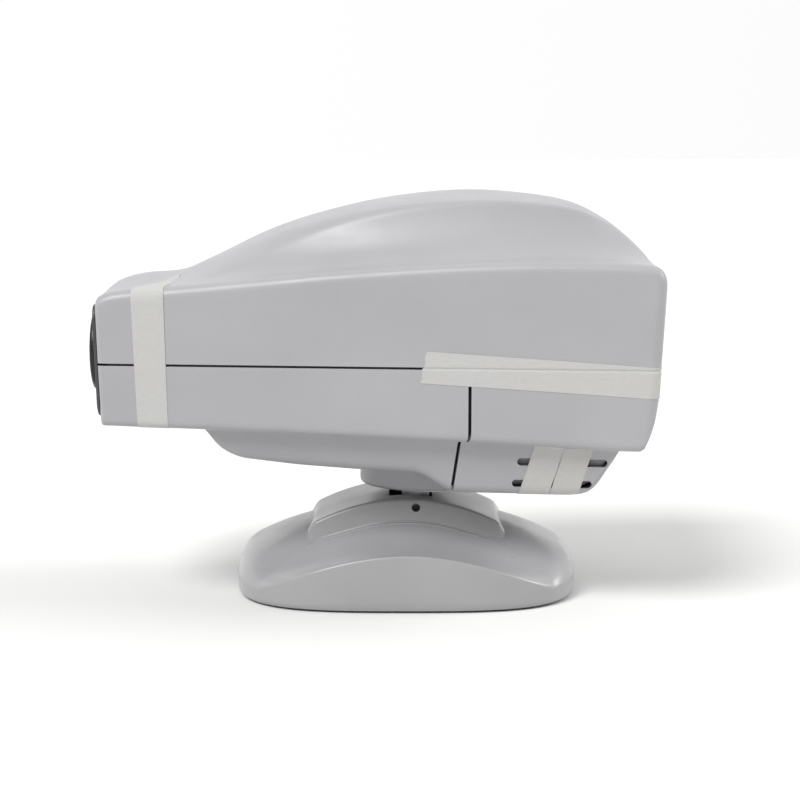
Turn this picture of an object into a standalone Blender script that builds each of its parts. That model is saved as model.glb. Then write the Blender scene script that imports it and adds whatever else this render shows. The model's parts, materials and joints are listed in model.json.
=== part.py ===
"""Eye-chart projector: a tapered head with a crested top, on a domed pedestal that lets it tilt and swivel.

The lens looks along -X and +Z is up.  The origin is the middle of the pedestal's underside.
Lengths in this file are millimetres, and heights are measured from a datum just above the table;
add() turns both into metres above the table.
"""
import math

import bmesh
import bpy
from mathutils import Matrix, Vector

MM = 0.001
TABLE_Z = -3.5            # the table's height from the datum
GAP = 0.3                 # air left between pieces that touch
WALL = 3.0                # moulded wall thickness

# Head: outer size and parting lines
NOSE_X, TAIL_X = -193.5, 158.5
NOSE_HALF, TAIL_HALF = 75.0, 113.0
SEAM_Z = 151.0            # upper shell above, lower shells below
SEAM_GAP = 1.5
PARTING_X = 39.0          # front lower shell ahead, rear cover behind
PARTING_GAP = 2.0
PARTING_STEP = 11.0       # how far the parting line steps forward below the side walls
PARTING_REACH = 30.0      # how far along the head that step fades away
BELLY_INSET = 12.0        # belly and rear box stand in from the side walls
BELLY_DRAFT = 0.35        # inward slope of the belly sides
BELLY_RADIUS = 9.0
EDGE_RADIUS = 7.0         # lower edge of the side walls
SHOULDER_RADIUS = 7.0     # upper edge of the side walls
CROWN = 6.0               # how much the crest falls from its middle to its rim
SCOOP_POWER = 2.4
TAIL_ROUND = 7.0
NOSE_ROUND = 2.5
NOSE_LEAN = math.tan(math.radians(2.0))
TAIL_LEAN = math.tan(math.radians(3.35))
TAIL_LEAN_TOP = 205.0
VENTS = (("upper_vent", 69, 124.5, 91.6), ("lower_vent", 66, 115.5, 77.3))      # name, x from, x to, height
VENT_HALF_Z = 2.5

# Optics
AXIS_Z = 153.0
RING_RADIUS = 27.0
RING_FRONT_X = -206.0
BARREL_RADIUS = 22.0
CELL_RADIUS = 19.0
DISC_RADIUS = 44.0
WINDOW_RADIUS = 37.0      # the charts' circle, which crosses the optical axis
DISC_Z = AXIS_Z + WINDOW_RADIUS
MASK_DISC_X, CHART_DISC_X = -38.0, -29.0
MOTOR_RADIUS = 17.5
PLATE_HALF_Y, PLATE_HALF_Z, PLATE_Z = 73.0, 35.2, 152.8
WINDOW_Y, WINDOW_Z = 48.0, 172.0

# Chassis
CHASSIS_LOW, CHASSIS_HIGH = 100.0, 103.0
STAND_FOOT = CHASSIS_HIGH + GAP

# Pivots
TILT_X, TILT_Z = 6.3, 53.8
PAN_X = 12.0
DRUM_RADIUS = 42.5
DRUM_BOTTOM = 64.2
STUD_RADIUS = 6.0
STUD_HOLE = 10.2
NECK_OUTLINE = ((-9, 6.7), (-9, -1.5), (-6, -7.5), (0, -9.5), (6, -7.5), (9, -1.5), (9, 6.7))

# Pedestal
BASE_HALF_X, BASE_HALF_Y = 111.5, 96.5
BASE_POWER = 3.2          # squareness of the plan outline
BASE_BOTTOM = TABLE_Z + 1.5
DOME_Z = 50.2
CREASE_Z, CREASE_DROP, CREASE_SPAN = 33.2, 25.0, 89.0
CREASE_LOW = 4.5
SADDLE_HALF_X, SADDLE_HALF_Y = 60.0, 40.0
SADDLE_FLARE_X, SADDLE_FLARE_Y = 4.0, 6.0
SADDLE_TOP, SADDLE_DROP, SADDLE_FOOT = 59.2, 15.0, 20.0
NECK_SLOT_HALF_X, NECK_SLOT_HALF_Y = 26.0, 24.0
FOOT_X, FOOT_Y, FOOT_RADIUS, PAD_RADIUS = 78.0, 60.0, 9.0, 22.0

# Rear panel
PANEL_HALF_Y = 52.0
PANEL_LOW, PANEL_HIGH = 157.0, 199.0
FAN_X, FAN_Y, FAN_Z, FAN_HALF = 143.0, -27.0, 178.0, 20.0
INLET_Y, INLET_Z = 31.0, 170.0
SWITCH_X, SWITCH_Y, SWITCH_Z = 155.0, 31.0, 190.5
FUSE_Y, FUSE_Z = 5.0, 188.0

# Stations of the outer lines, as (x, value)
CREST = ((-194, 193.5), (-187, 199), (-172, 203.5), (-147, 206), (-130, 213), (-84, 234.5), (-37, 248.5),
         (2, 255.5), (42, 258.3), (82, 255.5), (109, 250), (128, 240.5), (142, 230), (155, 217.5), (159, 213.5))
LEDGE = ((-194, 191.5), (-187, 195.5), (-172, 198), (-147, 200), (-85, 206), (-43, 210), (29, 215), (90, 217),
         (146, 215.5), (159, 212))
CREST_HALF = ((-194, 34), (-130, 38), (-40, 54), (40, 57), (110, 55), (159, 47))
WALL_FOOT = ((-194, 112), (-125, 110.5), (38, 105), (130, 101), (149, 101), (153.5, 108), (156.5, 117.5),
             (158.5, 131.5))
BELLY = ((-194, 200), (-127, 109.5), (-118, 96), (-106, 90), (-68, 86), (-30, 83.7), (8, 82.5), (28, 69.5),
         (107, 69.5), (114, 71.5), (119.5, 76.5), (127, 88.5), (133, 98.5), (141, 200))


def smooth_through(stations):
    """A function of x that runs smoothly through the stations."""
    count = len(stations)
    slopes = []
    for i in range(count):
        a = stations[max(i - 1, 0)]
        b = stations[min(i + 1, count - 1)]
        slopes.append((b[1] - a[1]) / (b[0] - a[0]))

    def value(x):
        if x <= stations[0][0]:
            return stations[0][1]
        for i in range(count - 1):
            (x0, v0), (x1, v1) = stations[i], stations[i + 1]
            if x <= x1:
                span = x1 - x0
                t = (x - x0) / span
                return ((2 * t**3 - 3 * t**2 + 1) * v0 + (t**3 - 2 * t**2 + t) * span * slopes[i]
                        + (3 * t**2 - 2 * t**3) * v1 + (t**3 - t**2) * span * slopes[i + 1])
        return stations[-1][1]
    return value


def straight_through(stations):
    """A function of x that runs straight from station to station."""
    def value(x):
        for (x0, v0), (x1, v1) in zip(stations, stations[1:]):
            if x <= x1:
                return v0 + (v1 - v0) * (max(x, x0) - x0) / (x1 - x0)
        return stations[-1][1]
    return value


crest_z = smooth_through(CREST)
ledge_z = smooth_through(LEDGE)
crest_half = smooth_through(CREST_HALF)
wall_foot = straight_through(WALL_FOOT)
belly_line = straight_through(BELLY)


def half_width(x):
    return NOSE_HALF + (TAIL_HALF - NOSE_HALF) * (x - NOSE_X) / (TAIL_X - NOSE_X)


def end_inset(x):
    """How far the outline draws in where it rounds over at the nose and the tail."""
    inset = 0.0
    if x > TAIL_X - TAIL_ROUND:
        reach = x - (TAIL_X - TAIL_ROUND)
        inset = TAIL_ROUND - math.sqrt(max(TAIL_ROUND**2 - reach**2, 0.0))
    elif x < NOSE_X + NOSE_ROUND:
        reach = NOSE_X + NOSE_ROUND - x
        inset = NOSE_ROUND - math.sqrt(max(NOSE_ROUND**2 - reach**2, 0.0))
    return inset


def lean(x, z):
    """The nose and the tail are not quite upright."""
    near_nose = min(max((-150.0 - x) / 40.0, 0.0), 1.0)
    near_tail = min(max((x - 100.0) / 50.0, 0.0), 1.0)
    return -NOSE_LEAN * (z - AXIS_Z) * near_nose + TAIL_LEAN * min(z - TAIL_LEAN_TOP, 0.0) * near_tail


def upper_half(x, inset):
    """Half of a cross-section of the upper shell, from the seam up to the middle of the crest."""
    width = half_width(x) - inset - end_inset(x)
    ledge = ledge_z(x) - inset - end_inset(x)
    crest = crest_z(x) - inset - end_inset(x)
    rim_y = crest_half(x) - 0.8 * inset
    rim_z = crest - min(CROWN, 0.6 * (crest - ledge))
    radius = SHOULDER_RADIUS - 0.6 * inset
    corner = math.sqrt(0.5)
    points = [(width, SEAM_Z + SEAM_GAP / 2), (width - 0.5, ledge - radius),
              (width - 0.5 - radius * (1 - corner), ledge - radius * (1 - corner)), (width - 0.5 - radius, ledge)]
    outer = width - 0.5 - radius
    for s in (0.7, 0.42, 0.2, 0.0):
        points.append((rim_y + (outer - rim_y) * s, ledge + (rim_z - ledge) * (1 - s)**SCOOP_POWER))
    for s in (0.55, 0.0):
        points.append((rim_y * s, crest - (crest - rim_z) * s**2))
    return points


def lower_half(x, inset, belly_x=None):
    """Half of a cross-section of the lower shells, from the seam down to the middle of the belly."""
    belly_x = x if belly_x is None else belly_x
    width = half_width(x) - inset - end_inset(x)
    foot = wall_foot(x) + inset + (0.4 * end_inset(x) if x < 0 else 0.0)
    bottom = min(belly_line(belly_x) + inset, foot - 1.0)
    side = half_width(belly_x) - BELLY_INSET - inset
    low_side = side - BELLY_DRAFT * (foot - bottom)
    radius = EDGE_RADIUS - 0.6 * inset
    bend = min(BELLY_RADIUS, 0.6 * (foot - bottom))
    corner = math.sqrt(0.5)
    return [(width, SEAM_Z - SEAM_GAP / 2), (width - 1.0, foot + radius),
            (width - 1.0 - radius * (1 - corner), foot + radius * (1 - corner)), (width - 1.0 - radius, foot),
            (side, foot - 0.3), (low_side, bottom + bend),
            (low_side - bend * (1 - corner), bottom + bend * (1 - corner)), (low_side - bend, bottom),
            (0.0, bottom)]


def mirrored(half, x_of):
    """A whole cross-section, from +Y over the middle to -Y, as points in space."""
    right = [(y, z) for y, z in half]
    left = [(-y, z) for y, z in reversed(half[:-1])]
    return [Vector((x_of(i if i < len(half) else 2 * len(half) - 2 - i, z), y, z))
            for i, (y, z) in enumerate(right + left)]


# ---------------------------------------------------------------- making objects

def clear_scene():
    for obj in list(bpy.data.objects):
        bpy.data.objects.remove(obj, do_unlink=True)


def material(name, color, roughness, metallic=0.0, transmission=0.0):
    mat = bpy.data.materials.get(name) or bpy.data.materials.new(name)
    mat.use_nodes = True
    shader = mat.node_tree.nodes["Principled BSDF"]
    shader.inputs["Base Color"].default_value = (*color, 1.0)
    shader.inputs["Roughness"].default_value = roughness
    shader.inputs["Metallic"].default_value = metallic
    shader.inputs["Transmission Weight"].default_value = transmission
    return mat


def add(name, points, faces, mat, origin=(0, 0, 0), parent=None):
    """Make one object from points in world millimetres, with its own origin."""
    start = Vector(origin)
    mesh = bpy.data.meshes.new(name)
    mesh.from_pydata([(Vector(p) - start) * MM for p in points], [], faces)
    work = bmesh.new()
    work.from_mesh(mesh)
    bmesh.ops.recalc_face_normals(work, faces=work.faces)
    work.to_mesh(mesh)
    work.free()
    mesh.materials.append(mat)
    mesh.shade_smooth()
    mesh.set_sharp_from_angle(angle=math.radians(35))
    obj = bpy.data.objects.new(name, mesh)
    bpy.context.collection.objects.link(obj)
    obj.parent = parent
    obj.location = (start - world_place(parent)) * MM
    return obj


def pivot(name, place):
    """An empty on a joint's axis, for the pieces that move together."""
    empty = bpy.data.objects.new(name, None)
    empty.location = Vector(place) * MM
    bpy.context.collection.objects.link(empty)
    return empty


def turned(name, profile, axis, centre, mat, segments=18, parent=None, origin=None):
    """Spin (radius, height) points round an axis; a profile off the axis makes a ring."""
    turn = {"X": Matrix(((0, 0, 1), (0, 1, 0), (-1, 0, 0))),
            "Y": Matrix(((1, 0, 0), (0, 0, 1), (0, -1, 0))),
            "Z": Matrix.Identity(3)}[axis]
    centre = Vector(centre)
    solid = profile[0][0] == 0.0
    rows = profile[1:-1] if solid else profile
    points = []
    for radius, height in rows:
        for k in range(segments):
            angle = 2 * math.pi * k / segments
            points.append(centre + turn @ Vector((radius * math.cos(angle), radius * math.sin(angle), height)))
    faces = []
    row_count = len(rows)
    for i in range(row_count - 1 if solid else row_count):
        j = (i + 1) % row_count
        for k in range(segments):
            n = (k + 1) % segments
            faces.append((i * segments + k, i * segments + n, j * segments + n, j * segments + k))
    if solid:
        faces.append(tuple(range(segments)))
        faces.append(tuple((row_count - 1) * segments + k for k in range(segments)))
    return add(name, points, faces, mat, centre if origin is None else origin, parent)


def disc(name, radius, low, high, axis, centre, mat, segments=18, parent=None, origin=None):
    profile = ((0.0, low), (radius, low), (radius, high), (0.0, high))
    return turned(name, profile, axis, centre, mat, segments, parent, origin)


def tube(name, outer, inner, low, high, axis, centre, mat, segments=18, parent=None, origin=None):
    profile = ((outer, high), (outer, low), (inner, low), (inner, high))
    return turned(name, profile, axis, centre, mat, segments, parent, origin)


def prism(name, outline, axis, low, high, mat, origin=(0, 0, 0), parent=None):
    """Extrude a closed outline along an axis; the outline holds the other two coordinates in order."""
    def place(a, b, c):
        return {"X": (c, a, b), "Y": (a, c, b), "Z": (a, b, c)}[axis]
    count = len(outline)
    points = [place(a, b, low) for a, b in outline] + [place(a, b, high) for a, b in outline]
    faces = [tuple(range(count)), tuple(range(count, 2 * count))]
    for i in range(count):
        j = (i + 1) % count
        faces.append((i, j, count + j, count + i))
    return add(name, points, faces, mat, origin, parent)


def box(name, low, high, mat, parent=None, origin=(0, 0, 0)):
    outline = ((low[0], low[1]), (high[0], low[1]), (high[0], high[1]), (low[0], high[1]))
    return prism(name, outline, "Z", low[2], high[2], mat, origin, parent)


def rounded(half_a, half_b, radius, centre=(0, 0), steps=4):
    """Outline of a rectangle with round corners."""
    points = []
    for quarter, (sa, sb) in enumerate(((1, 1), (-1, 1), (-1, -1), (1, -1))):
        for k in range(steps + 1):
            angle = math.radians(90 * quarter + 90 * k / steps)
            points.append((centre[0] + sa * (half_a - radius) + radius * math.cos(angle),
                           centre[1] + sb * (half_b - radius) + radius * math.sin(angle)))
    return points


def circle(radius, centre=(0, 0), segments=20):
    return [(centre[0] + radius * math.cos(2 * math.pi * k / segments),
             centre[1] + radius * math.sin(2 * math.pi * k / segments)) for k in range(segments)]


def cut(obj, cutter):
    """Take a cutter away from an object, and hide the cutter."""
    cutter.hide_render = True
    cutter.display_type = "WIRE"
    boolean = obj.modifiers.new("cut_" + cutter.name, "BOOLEAN")
    boolean.operation = "DIFFERENCE"
    boolean.solver = "EXACT"
    boolean.object = cutter


def tray(name, outer, inner, mat, close_front, close_back, parent=None):
    """A shell from matching outer and inner cross-sections, open along the line between their ends."""
    rows, columns = len(outer), len(outer[0])
    points = [p for section in outer for p in section] + [p for section in inner for p in section]
    shift = rows * columns

    def out(i, j):
        return i * columns + j

    def inn(i, j):
        return shift + i * columns + j

    faces = []
    for i in range(rows - 1):
        for j in range(columns - 1):
            faces.append((out(i, j), out(i, j + 1), out(i + 1, j + 1), out(i + 1, j)))
            faces.append((inn(i, j), inn(i + 1, j), inn(i + 1, j + 1), inn(i, j + 1)))
        for j in (0, columns - 1):
            faces.append((out(i, j), out(i + 1, j), inn(i + 1, j), inn(i, j)))
    for i, closed in ((0, close_front), (rows - 1, close_back)):
        if closed:
            faces.append(tuple(out(i, j) for j in range(columns)))
            faces.append(tuple(inn(i, j) for j in range(columns)))
            faces.append((out(i, 0), out(i, columns - 1), inn(i, columns - 1), inn(i, 0)))
        else:
            for j in range(columns - 1):
                faces.append((out(i, j), out(i, j + 1), inn(i, j + 1), inn(i, j)))
    return add(name, points, faces, mat, (0, 0, 0), parent)


def world_place(obj):
    """Where an object is, in this file's lengths and heights; its parents only move it."""
    place = Vector((0, 0, TABLE_Z))
    while obj is not None:
        place += obj.location / MM
        obj = obj.parent
    return place


def sheared(obj, slope, z_ref):
    """Lean a piece made upright, so that it follows the nose or the tail."""
    base = world_place(obj)
    for vertex in obj.data.vertices:
        height = vertex.co.z + (base.z - z_ref) * MM
        vertex.co.x += slope * height
    return obj


def lens_shape(name, radius, thickness, bulge_low, bulge_high, centre, mat, parent=None, origin=None):
    """A lens on the X axis: a disc whose two faces bulge."""
    half = thickness / 2
    profile = [(0.0, -half - bulge_low)]
    for k in (1, 2, 3):
        share = k / 3
        profile.append((radius * share, -half - bulge_low * (1 - share**2)))
    for k in (3, 2, 1):
        share = k / 3
        profile.append((radius * share, half + bulge_high * (1 - share**2)))
    profile.append((0.0, half + bulge_high))
    return turned(name, profile, "X", centre, mat, 18, parent, origin)


def windowed_wheel(name, count, x_low, x_high, mat, parent, origin):
    """A thin wheel on the X axis with a circle of windows, one of them on the optical axis."""
    radii = (3.0, WINDOW_RADIUS - 3.6, WINDOW_RADIUS + 3.6, DISC_RADIUS)
    steps = 2 * count
    points = []
    for x in (x_low, x_high):
        for radius in radii:
            for k in range(steps):
                angle = -math.pi / 2 + 2 * math.pi * (k - 0.5) / steps
                points.append((x, radius * math.cos(angle), DISC_Z + radius * math.sin(angle)))

    def at(side, ring, k):
        return (side * len(radii) + ring) * steps + k % steps

    faces = []
    for k in range(steps):
        window = k % 2 == 0
        for ring in range(3):
            if ring == 1 and window:
                faces.append((at(0, 1, k), at(0, 1, k + 1), at(1, 1, k + 1), at(1, 1, k)))
                faces.append((at(0, 2, k), at(1, 2, k), at(1, 2, k + 1), at(0, 2, k + 1)))
                faces.append((at(0, 1, k), at(1, 1, k), at(1, 2, k), at(0, 2, k)))
                faces.append((at(0, 1, k + 1), at(0, 2, k + 1), at(1, 2, k + 1), at(1, 1, k + 1)))
                continue
            faces.append((at(0, ring, k), at(0, ring + 1, k), at(0, ring + 1, k + 1), at(0, ring, k + 1)))
            faces.append((at(1, ring, k), at(1, ring, k + 1), at(1, ring + 1, k + 1), at(1, ring + 1, k)))
        faces.append((at(0, 0, k), at(0, 0, k + 1), at(1, 0, k + 1), at(1, 0, k)))
        faces.append((at(0, 3, k), at(1, 3, k), at(1, 3, k + 1), at(0, 3, k + 1)))
    return add(name, points, faces, mat, origin, parent)


def ring_stand(name, x_low, x_high, half_y, z_low, z_high, holes, mat, parent):
    """An upright plate across the optical axis, with round holes given as (z, radius)."""
    middle = (z_low + z_high) / 2
    stand = prism(name, rounded(half_y, (z_high - z_low) / 2, 4.0, (0, middle), 2), "X", x_low, x_high, mat,
                  parent=parent)
    for number, (z, radius) in enumerate(holes):
        cutter = prism(f"{name}_hole_{number}", circle(radius, (0, z), 20), "X", x_low - 2, x_high + 2, mat)
        cut(stand, cutter)
    return stand


# ---------------------------------------------------------------- materials

clear_scene()
HOUSING = material("housing_grey", (0.56, 0.56, 0.57), 0.38)
PEDESTAL = material("pedestal_grey", (0.50, 0.50, 0.51), 0.36)
BLACK = material("black_plastic", (0.03, 0.03, 0.032), 0.45)
ANODISED = material("black_anodised", (0.02, 0.02, 0.022), 0.32, 0.6)
GLASS = material("coated_glass", (0.75, 0.82, 0.88), 0.03, 0.0, 0.9)
STEEL = material("steel", (0.55, 0.55, 0.56), 0.35, 1.0)
ALUMINIUM = material("aluminium", (0.72, 0.72, 0.74), 0.4, 1.0)
BRASS = material("brass", (0.72, 0.55, 0.26), 0.35, 1.0)
RUBBER = material("rubber", (0.025, 0.025, 0.025), 0.85)
BOARD = material("board_green", (0.02, 0.16, 0.07), 0.5)
CERAMIC = material("ceramic", (0.82, 0.8, 0.74), 0.55)

# ---------------------------------------------------------------- joint axes

tilt_pivot = pivot("tilt_pivot", (TILT_X, 0, TILT_Z - TABLE_Z))
pan_pivot = pivot("pan_pivot", (PAN_X - TILT_X, 0, DRUM_BOTTOM - TILT_Z))
pan_pivot.parent = tilt_pivot


def head_pivot(name, place):
    """An axis carried by the head."""
    empty = pivot(name, Vector(place) - world_place(pan_pivot))
    empty.parent = pan_pivot
    return empty


FOCUS_AT = (RING_FRONT_X, 0, AXIS_Z)
focus_pivot = head_pivot("focus_pivot", FOCUS_AT)
cell_slide = head_pivot("lens_cell_slide", (-165, 0, AXIS_Z))
mask_pivot = head_pivot("mask_disc_pivot", (MASK_DISC_X, 0, DISC_Z))
chart_pivot = head_pivot("chart_disc_pivot", (CHART_DISC_X, 0, DISC_Z))
fan_pivot = head_pivot("fan_pivot", (FAN_X, FAN_Y, FAN_Z))
switch_pivot = head_pivot("switch_pivot", (SWITCH_X, SWITCH_Y, SWITCH_Z))


# ---------------------------------------------------------------- head shells

def sections(stations, half_of, inset, low, high, low_inset, high_inset, step=None):
    """Cross-sections at the stations, squeezed between two ends that draw in by their own amounts."""
    rows = []
    for x in stations:
        share = (x - low) / (high - low)
        place = low + low_inset + share * (high - high_inset - low - low_inset)
        half = half_of(place, inset)

        def x_of(index, z, place=place):
            return place + lean(place, z) + (step(place, index) if step else 0.0)
        rows.append(mirrored(half, x_of))
    return rows


# The share of the parting line's step at each point of a lower half section
STEP_SHARES = (0.0, 0.0, 0.0, 0.0, 0.55, 0.85, 1.0, 1.0, 1.0)


def parting_step(x, index):
    """Below the side walls the parting line steps forward."""
    weight = max(1.0 - abs(x - PARTING_X) / PARTING_REACH, 0.0)
    return -PARTING_STEP * weight * STEP_SHARES[index]


def stepped_half(x, inset):
    return lower_half(x, inset, x + parting_step(x, -1))


def make_shells():
    tail = [TAIL_X - TAIL_ROUND * (1 - math.sin(math.radians(a))) for a in (0, 30, 60, 90)]
    nose = [NOSE_X, NOSE_X + 1.0, NOSE_X + NOSE_ROUND]
    upper = nose + [-172, -150, -138, -126, -108, -84, -58, -30, 0, 30, 60, 86, 106, 122, 134, 144] + tail
    shell = tray("upper_shell",
                 sections(upper, upper_half, 0.0, NOSE_X, TAIL_X, 0, 0),
                 sections(upper, upper_half, WALL, NOSE_X, TAIL_X, WALL, WALL),
                 HOUSING, True, True, pan_pivot)
    front_end = PARTING_X - PARTING_GAP / 2
    front = nose + [-170, -140, -127, -118, -106, -86, -68, -30, 8, 22, front_end]
    lower = tray("front_lower_shell",
                 sections(front, stepped_half, 0.0, NOSE_X, front_end, 0, 0, parting_step),
                 sections(front, stepped_half, WALL, NOSE_X, front_end, WALL, 0, parting_step),
                 HOUSING, True, False, pan_pivot)
    back_end = PARTING_X + PARTING_GAP / 2
    back = [back_end, 54, 68, 90, 106, 112, 118, 126, 132, 141, 149] + tail
    cover = tray("rear_cover",
                 sections(back, stepped_half, 0.0, back_end, TAIL_X, 0, 0, parting_step),
                 sections(back, stepped_half, WALL, back_end, TAIL_X, 0, WALL, parting_step),
                 HOUSING, False, True, pan_pivot)
    for obj in (shell, lower):
        cut(obj, prism("lens_opening_" + obj.name, circle(30.0, (0, AXIS_Z), 32), "X", NOSE_X - 8, NOSE_X + 8,
                       HOUSING))
    cut(shell, box("panel_opening", (TAIL_X - 15, -PANEL_HALF_Y - GAP, PANEL_LOW - GAP),
                   (TAIL_X + 8, PANEL_HALF_Y + GAP, PANEL_HIGH + GAP), HOUSING))
    cut(lower, prism("stud_opening", circle(STUD_HOLE, (PAN_X, 0), 24), "Z", 60, 98, HOUSING))
    for name, low, high, middle in VENTS:
        slot = rounded((high - low) / 2, VENT_HALF_Z, VENT_HALF_Z - 0.01, ((low + high) / 2, middle), 3)
        cut(cover, prism(name, slot, "Y", -130, 130, HOUSING))


def make_nose():
    plate_x = NOSE_X - GAP
    outline = rounded(PLATE_HALF_Y, PLATE_HALF_Z, 9.0, (0, PLATE_Z), 4)
    plate = prism("front_plate", outline, "X", plate_x - 2.0, plate_x, BLACK, parent=pan_pivot)
    for name, hole in (("plate_lens_hole", circle(RING_RADIUS + 0.8, (0, AXIS_Z), 32)),
                       ("plate_window_hole", circle(6.0 + GAP, (WINDOW_Y, WINDOW_Z), 16))):
        cut(plate, prism(name, hole, "X", plate_x - 6, plate_x + 6, BLACK))
    sheared(plate, -NOSE_LEAN, AXIS_Z)
    window = disc("remote_window", 6.0, -2.2, -0.2, "X", (plate_x, WINDOW_Y, WINDOW_Z), GLASS, 16, pan_pivot)
    sheared(window, -NOSE_LEAN, AXIS_Z)


def make_optics():
    axis = (0, 0, AXIS_Z)
    turned("focus_ring", ((RING_RADIUS - 1.2, RING_FRONT_X), (RING_RADIUS, RING_FRONT_X + 1.2),
                          (RING_RADIUS, NOSE_X + 6), (BARREL_RADIUS + 0.5, NOSE_X + 6),
                          (BARREL_RADIUS + 0.5, RING_FRONT_X + 4), (BARREL_RADIUS - 1.5, RING_FRONT_X)),
           "X", axis, ANODISED, 40, focus_pivot, FOCUS_AT)
    tube("lens_barrel", BARREL_RADIUS, CELL_RADIUS + GAP, RING_FRONT_X + 10, -92, "X", axis, ANODISED, 22,
         pan_pivot)
    cell_at = world_place(cell_slide)
    tube("lens_cell", CELL_RADIUS, 16.6, RING_FRONT_X + 7, -130, "X", axis, ANODISED, 22, cell_slide, cell_at)
    front_at = (RING_FRONT_X + 14, 0, AXIS_Z)
    lens_shape("objective_front", 16.2, 3.0, 3.0, 1.0, front_at, GLASS, cell_slide, cell_at)
    lens_shape("objective_rear", 16.2, 3.0, 1.0, 3.0, (-140, 0, AXIS_Z), GLASS, cell_slide, cell_at)
    ring_stand("barrel_stand", -106, -98, 30, STAND_FOOT, 181, ((AXIS_Z, BARREL_RADIUS + GAP),), ALUMINIUM,
               pan_pivot)
    ring_stand("condenser_stand", 28, 36, 30, STAND_FOOT, 182, ((AXIS_Z, 24.0 + GAP),), ALUMINIUM, pan_pivot)
    tube("condenser_tube", 24.0, 20.4, 16, 50, "X", axis, ALUMINIUM, 28, pan_pivot)
    lens_shape("condenser_front", 20.0, 3.0, 3.5, 0.5, (23, 0, AXIS_Z), GLASS, pan_pivot)
    lens_shape("condenser_rear", 20.0, 3.0, 0.5, 3.5, (34, 0, AXIS_Z), GLASS, pan_pivot)
    disc("heat_glass", 20.0, 44.0, 47.0, "X", axis, GLASS, 24, pan_pivot)


def make_light():
    axis = (0, 0, AXIS_Z)
    bowl = ((26, 60), (22, 74), (14, 86), (8.5, 90), (7, 88.5), (12.5, 84), (20.3, 73), (24.5, 60))
    turned("lamp_reflector", bowl, "X", axis, ALUMINIUM, 28, pan_pivot)
    bulb = ((0.0, 68), (3.5, 70), (5.5, 75), (5.5, 88), (4, 95), (0.0, 95))
    turned("lamp_bulb", bulb, "X", axis, GLASS, 16, pan_pivot)
    box("lamp_socket", (95.5, -11, 143), (112, 11, 163), CERAMIC, pan_pivot)
    ring_stand("lamp_bracket", 112.4, 115.4, 20, STAND_FOOT, 172, (), STEEL, pan_pivot)


def make_discs():
    shaft = 2.5
    for name, count, x, side, place in (("mask", 8, MASK_DISC_X, -1, mask_pivot),
                                        ("chart", 16, CHART_DISC_X, 1, chart_pivot)):
        origin = world_place(place)
        windowed_wheel(name + "_disc", count, x - 1, x + 1, ANODISED, place, origin)
        flange = ((0.0, -side * 3.5), (shaft, -side * 3.5), (shaft, side * 1.4), (9.0, side * 1.4),
                  (9.0, side * 4.0), (shaft, side * 4.0), (shaft, side * 9.4), (0.0, side * 9.4))
        turned(name + "_hub", flange, "X", origin, BRASS, 16, place)
        near, far = x + side * 6.0, x + side * 8.5
        ring_stand(name + "_bracket", min(near, far), max(near, far), 22, STAND_FOOT, 213,
                   ((AXIS_Z, 13.0), (DISC_Z, 3.4)), STEEL, pan_pivot)
        start, end = x + side * 9.8, x + side * 29.0
        disc(name + "_motor", MOTOR_RADIUS, min(start, end), max(start, end), "X", (0, 0, DISC_Z), BLACK, 24,
             pan_pivot)


def make_chassis():
    chassis = box("chassis_plate", (-107, -46, CHASSIS_LOW), (117, 46, CHASSIS_HIGH), STEEL, pan_pivot)
    cut(chassis, prism("chassis_hole", circle(STUD_HOLE, (PAN_X, 0), 24), "Z", 95, 108, STEEL))
    for name, x in (("front", -95), ("rear", 60)):
        box(f"chassis_rail_{name}", (x - 6, -44, belly_line(x) + WALL + 3.0), (x + 6, 44, CHASSIS_LOW - GAP),
            ALUMINIUM, pan_pivot)
    box("power_supply", (-88, 27, STAND_FOOT), (-34, 62, 138), ALUMINIUM, pan_pivot)
    box("control_board", (-92, -66, 108.3), (8, -27, 109.9), BOARD, pan_pivot)
    box("board_spacer", (-90, -44, STAND_FOOT), (6, -30, 108.0), ALUMINIUM, pan_pivot)


def bladed_outline():
    """Seven swept blades round a hub, in the fan's plane."""
    outline = []
    for blade in range(7):
        turn = 2 * math.pi * blade / 7
        for radius, angle in ((7.5, 0.0), (17.6, 0.18), (17.6, 0.62), (7.5, 0.55)):
            outline.append((FAN_Y + radius * math.cos(turn + angle), FAN_Z + radius * math.sin(turn + angle)))
    return outline


def make_fan():
    frame = prism("fan_frame", rounded(FAN_HALF, FAN_HALF, 3.0, (FAN_Y, FAN_Z), 2), "X", FAN_X - 5, FAN_X + 5,
                  BLACK, parent=pan_pivot)
    cut(frame, prism("fan_opening", circle(18.4, (FAN_Y, FAN_Z), 28), "X", FAN_X - 9, FAN_X + 9, BLACK))
    hub_at = (FAN_X, FAN_Y, FAN_Z)
    prism("fan_rotor", bladed_outline(), "X", FAN_X - 3.5, FAN_X + 3.5, BLACK, hub_at, fan_pivot)


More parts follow.
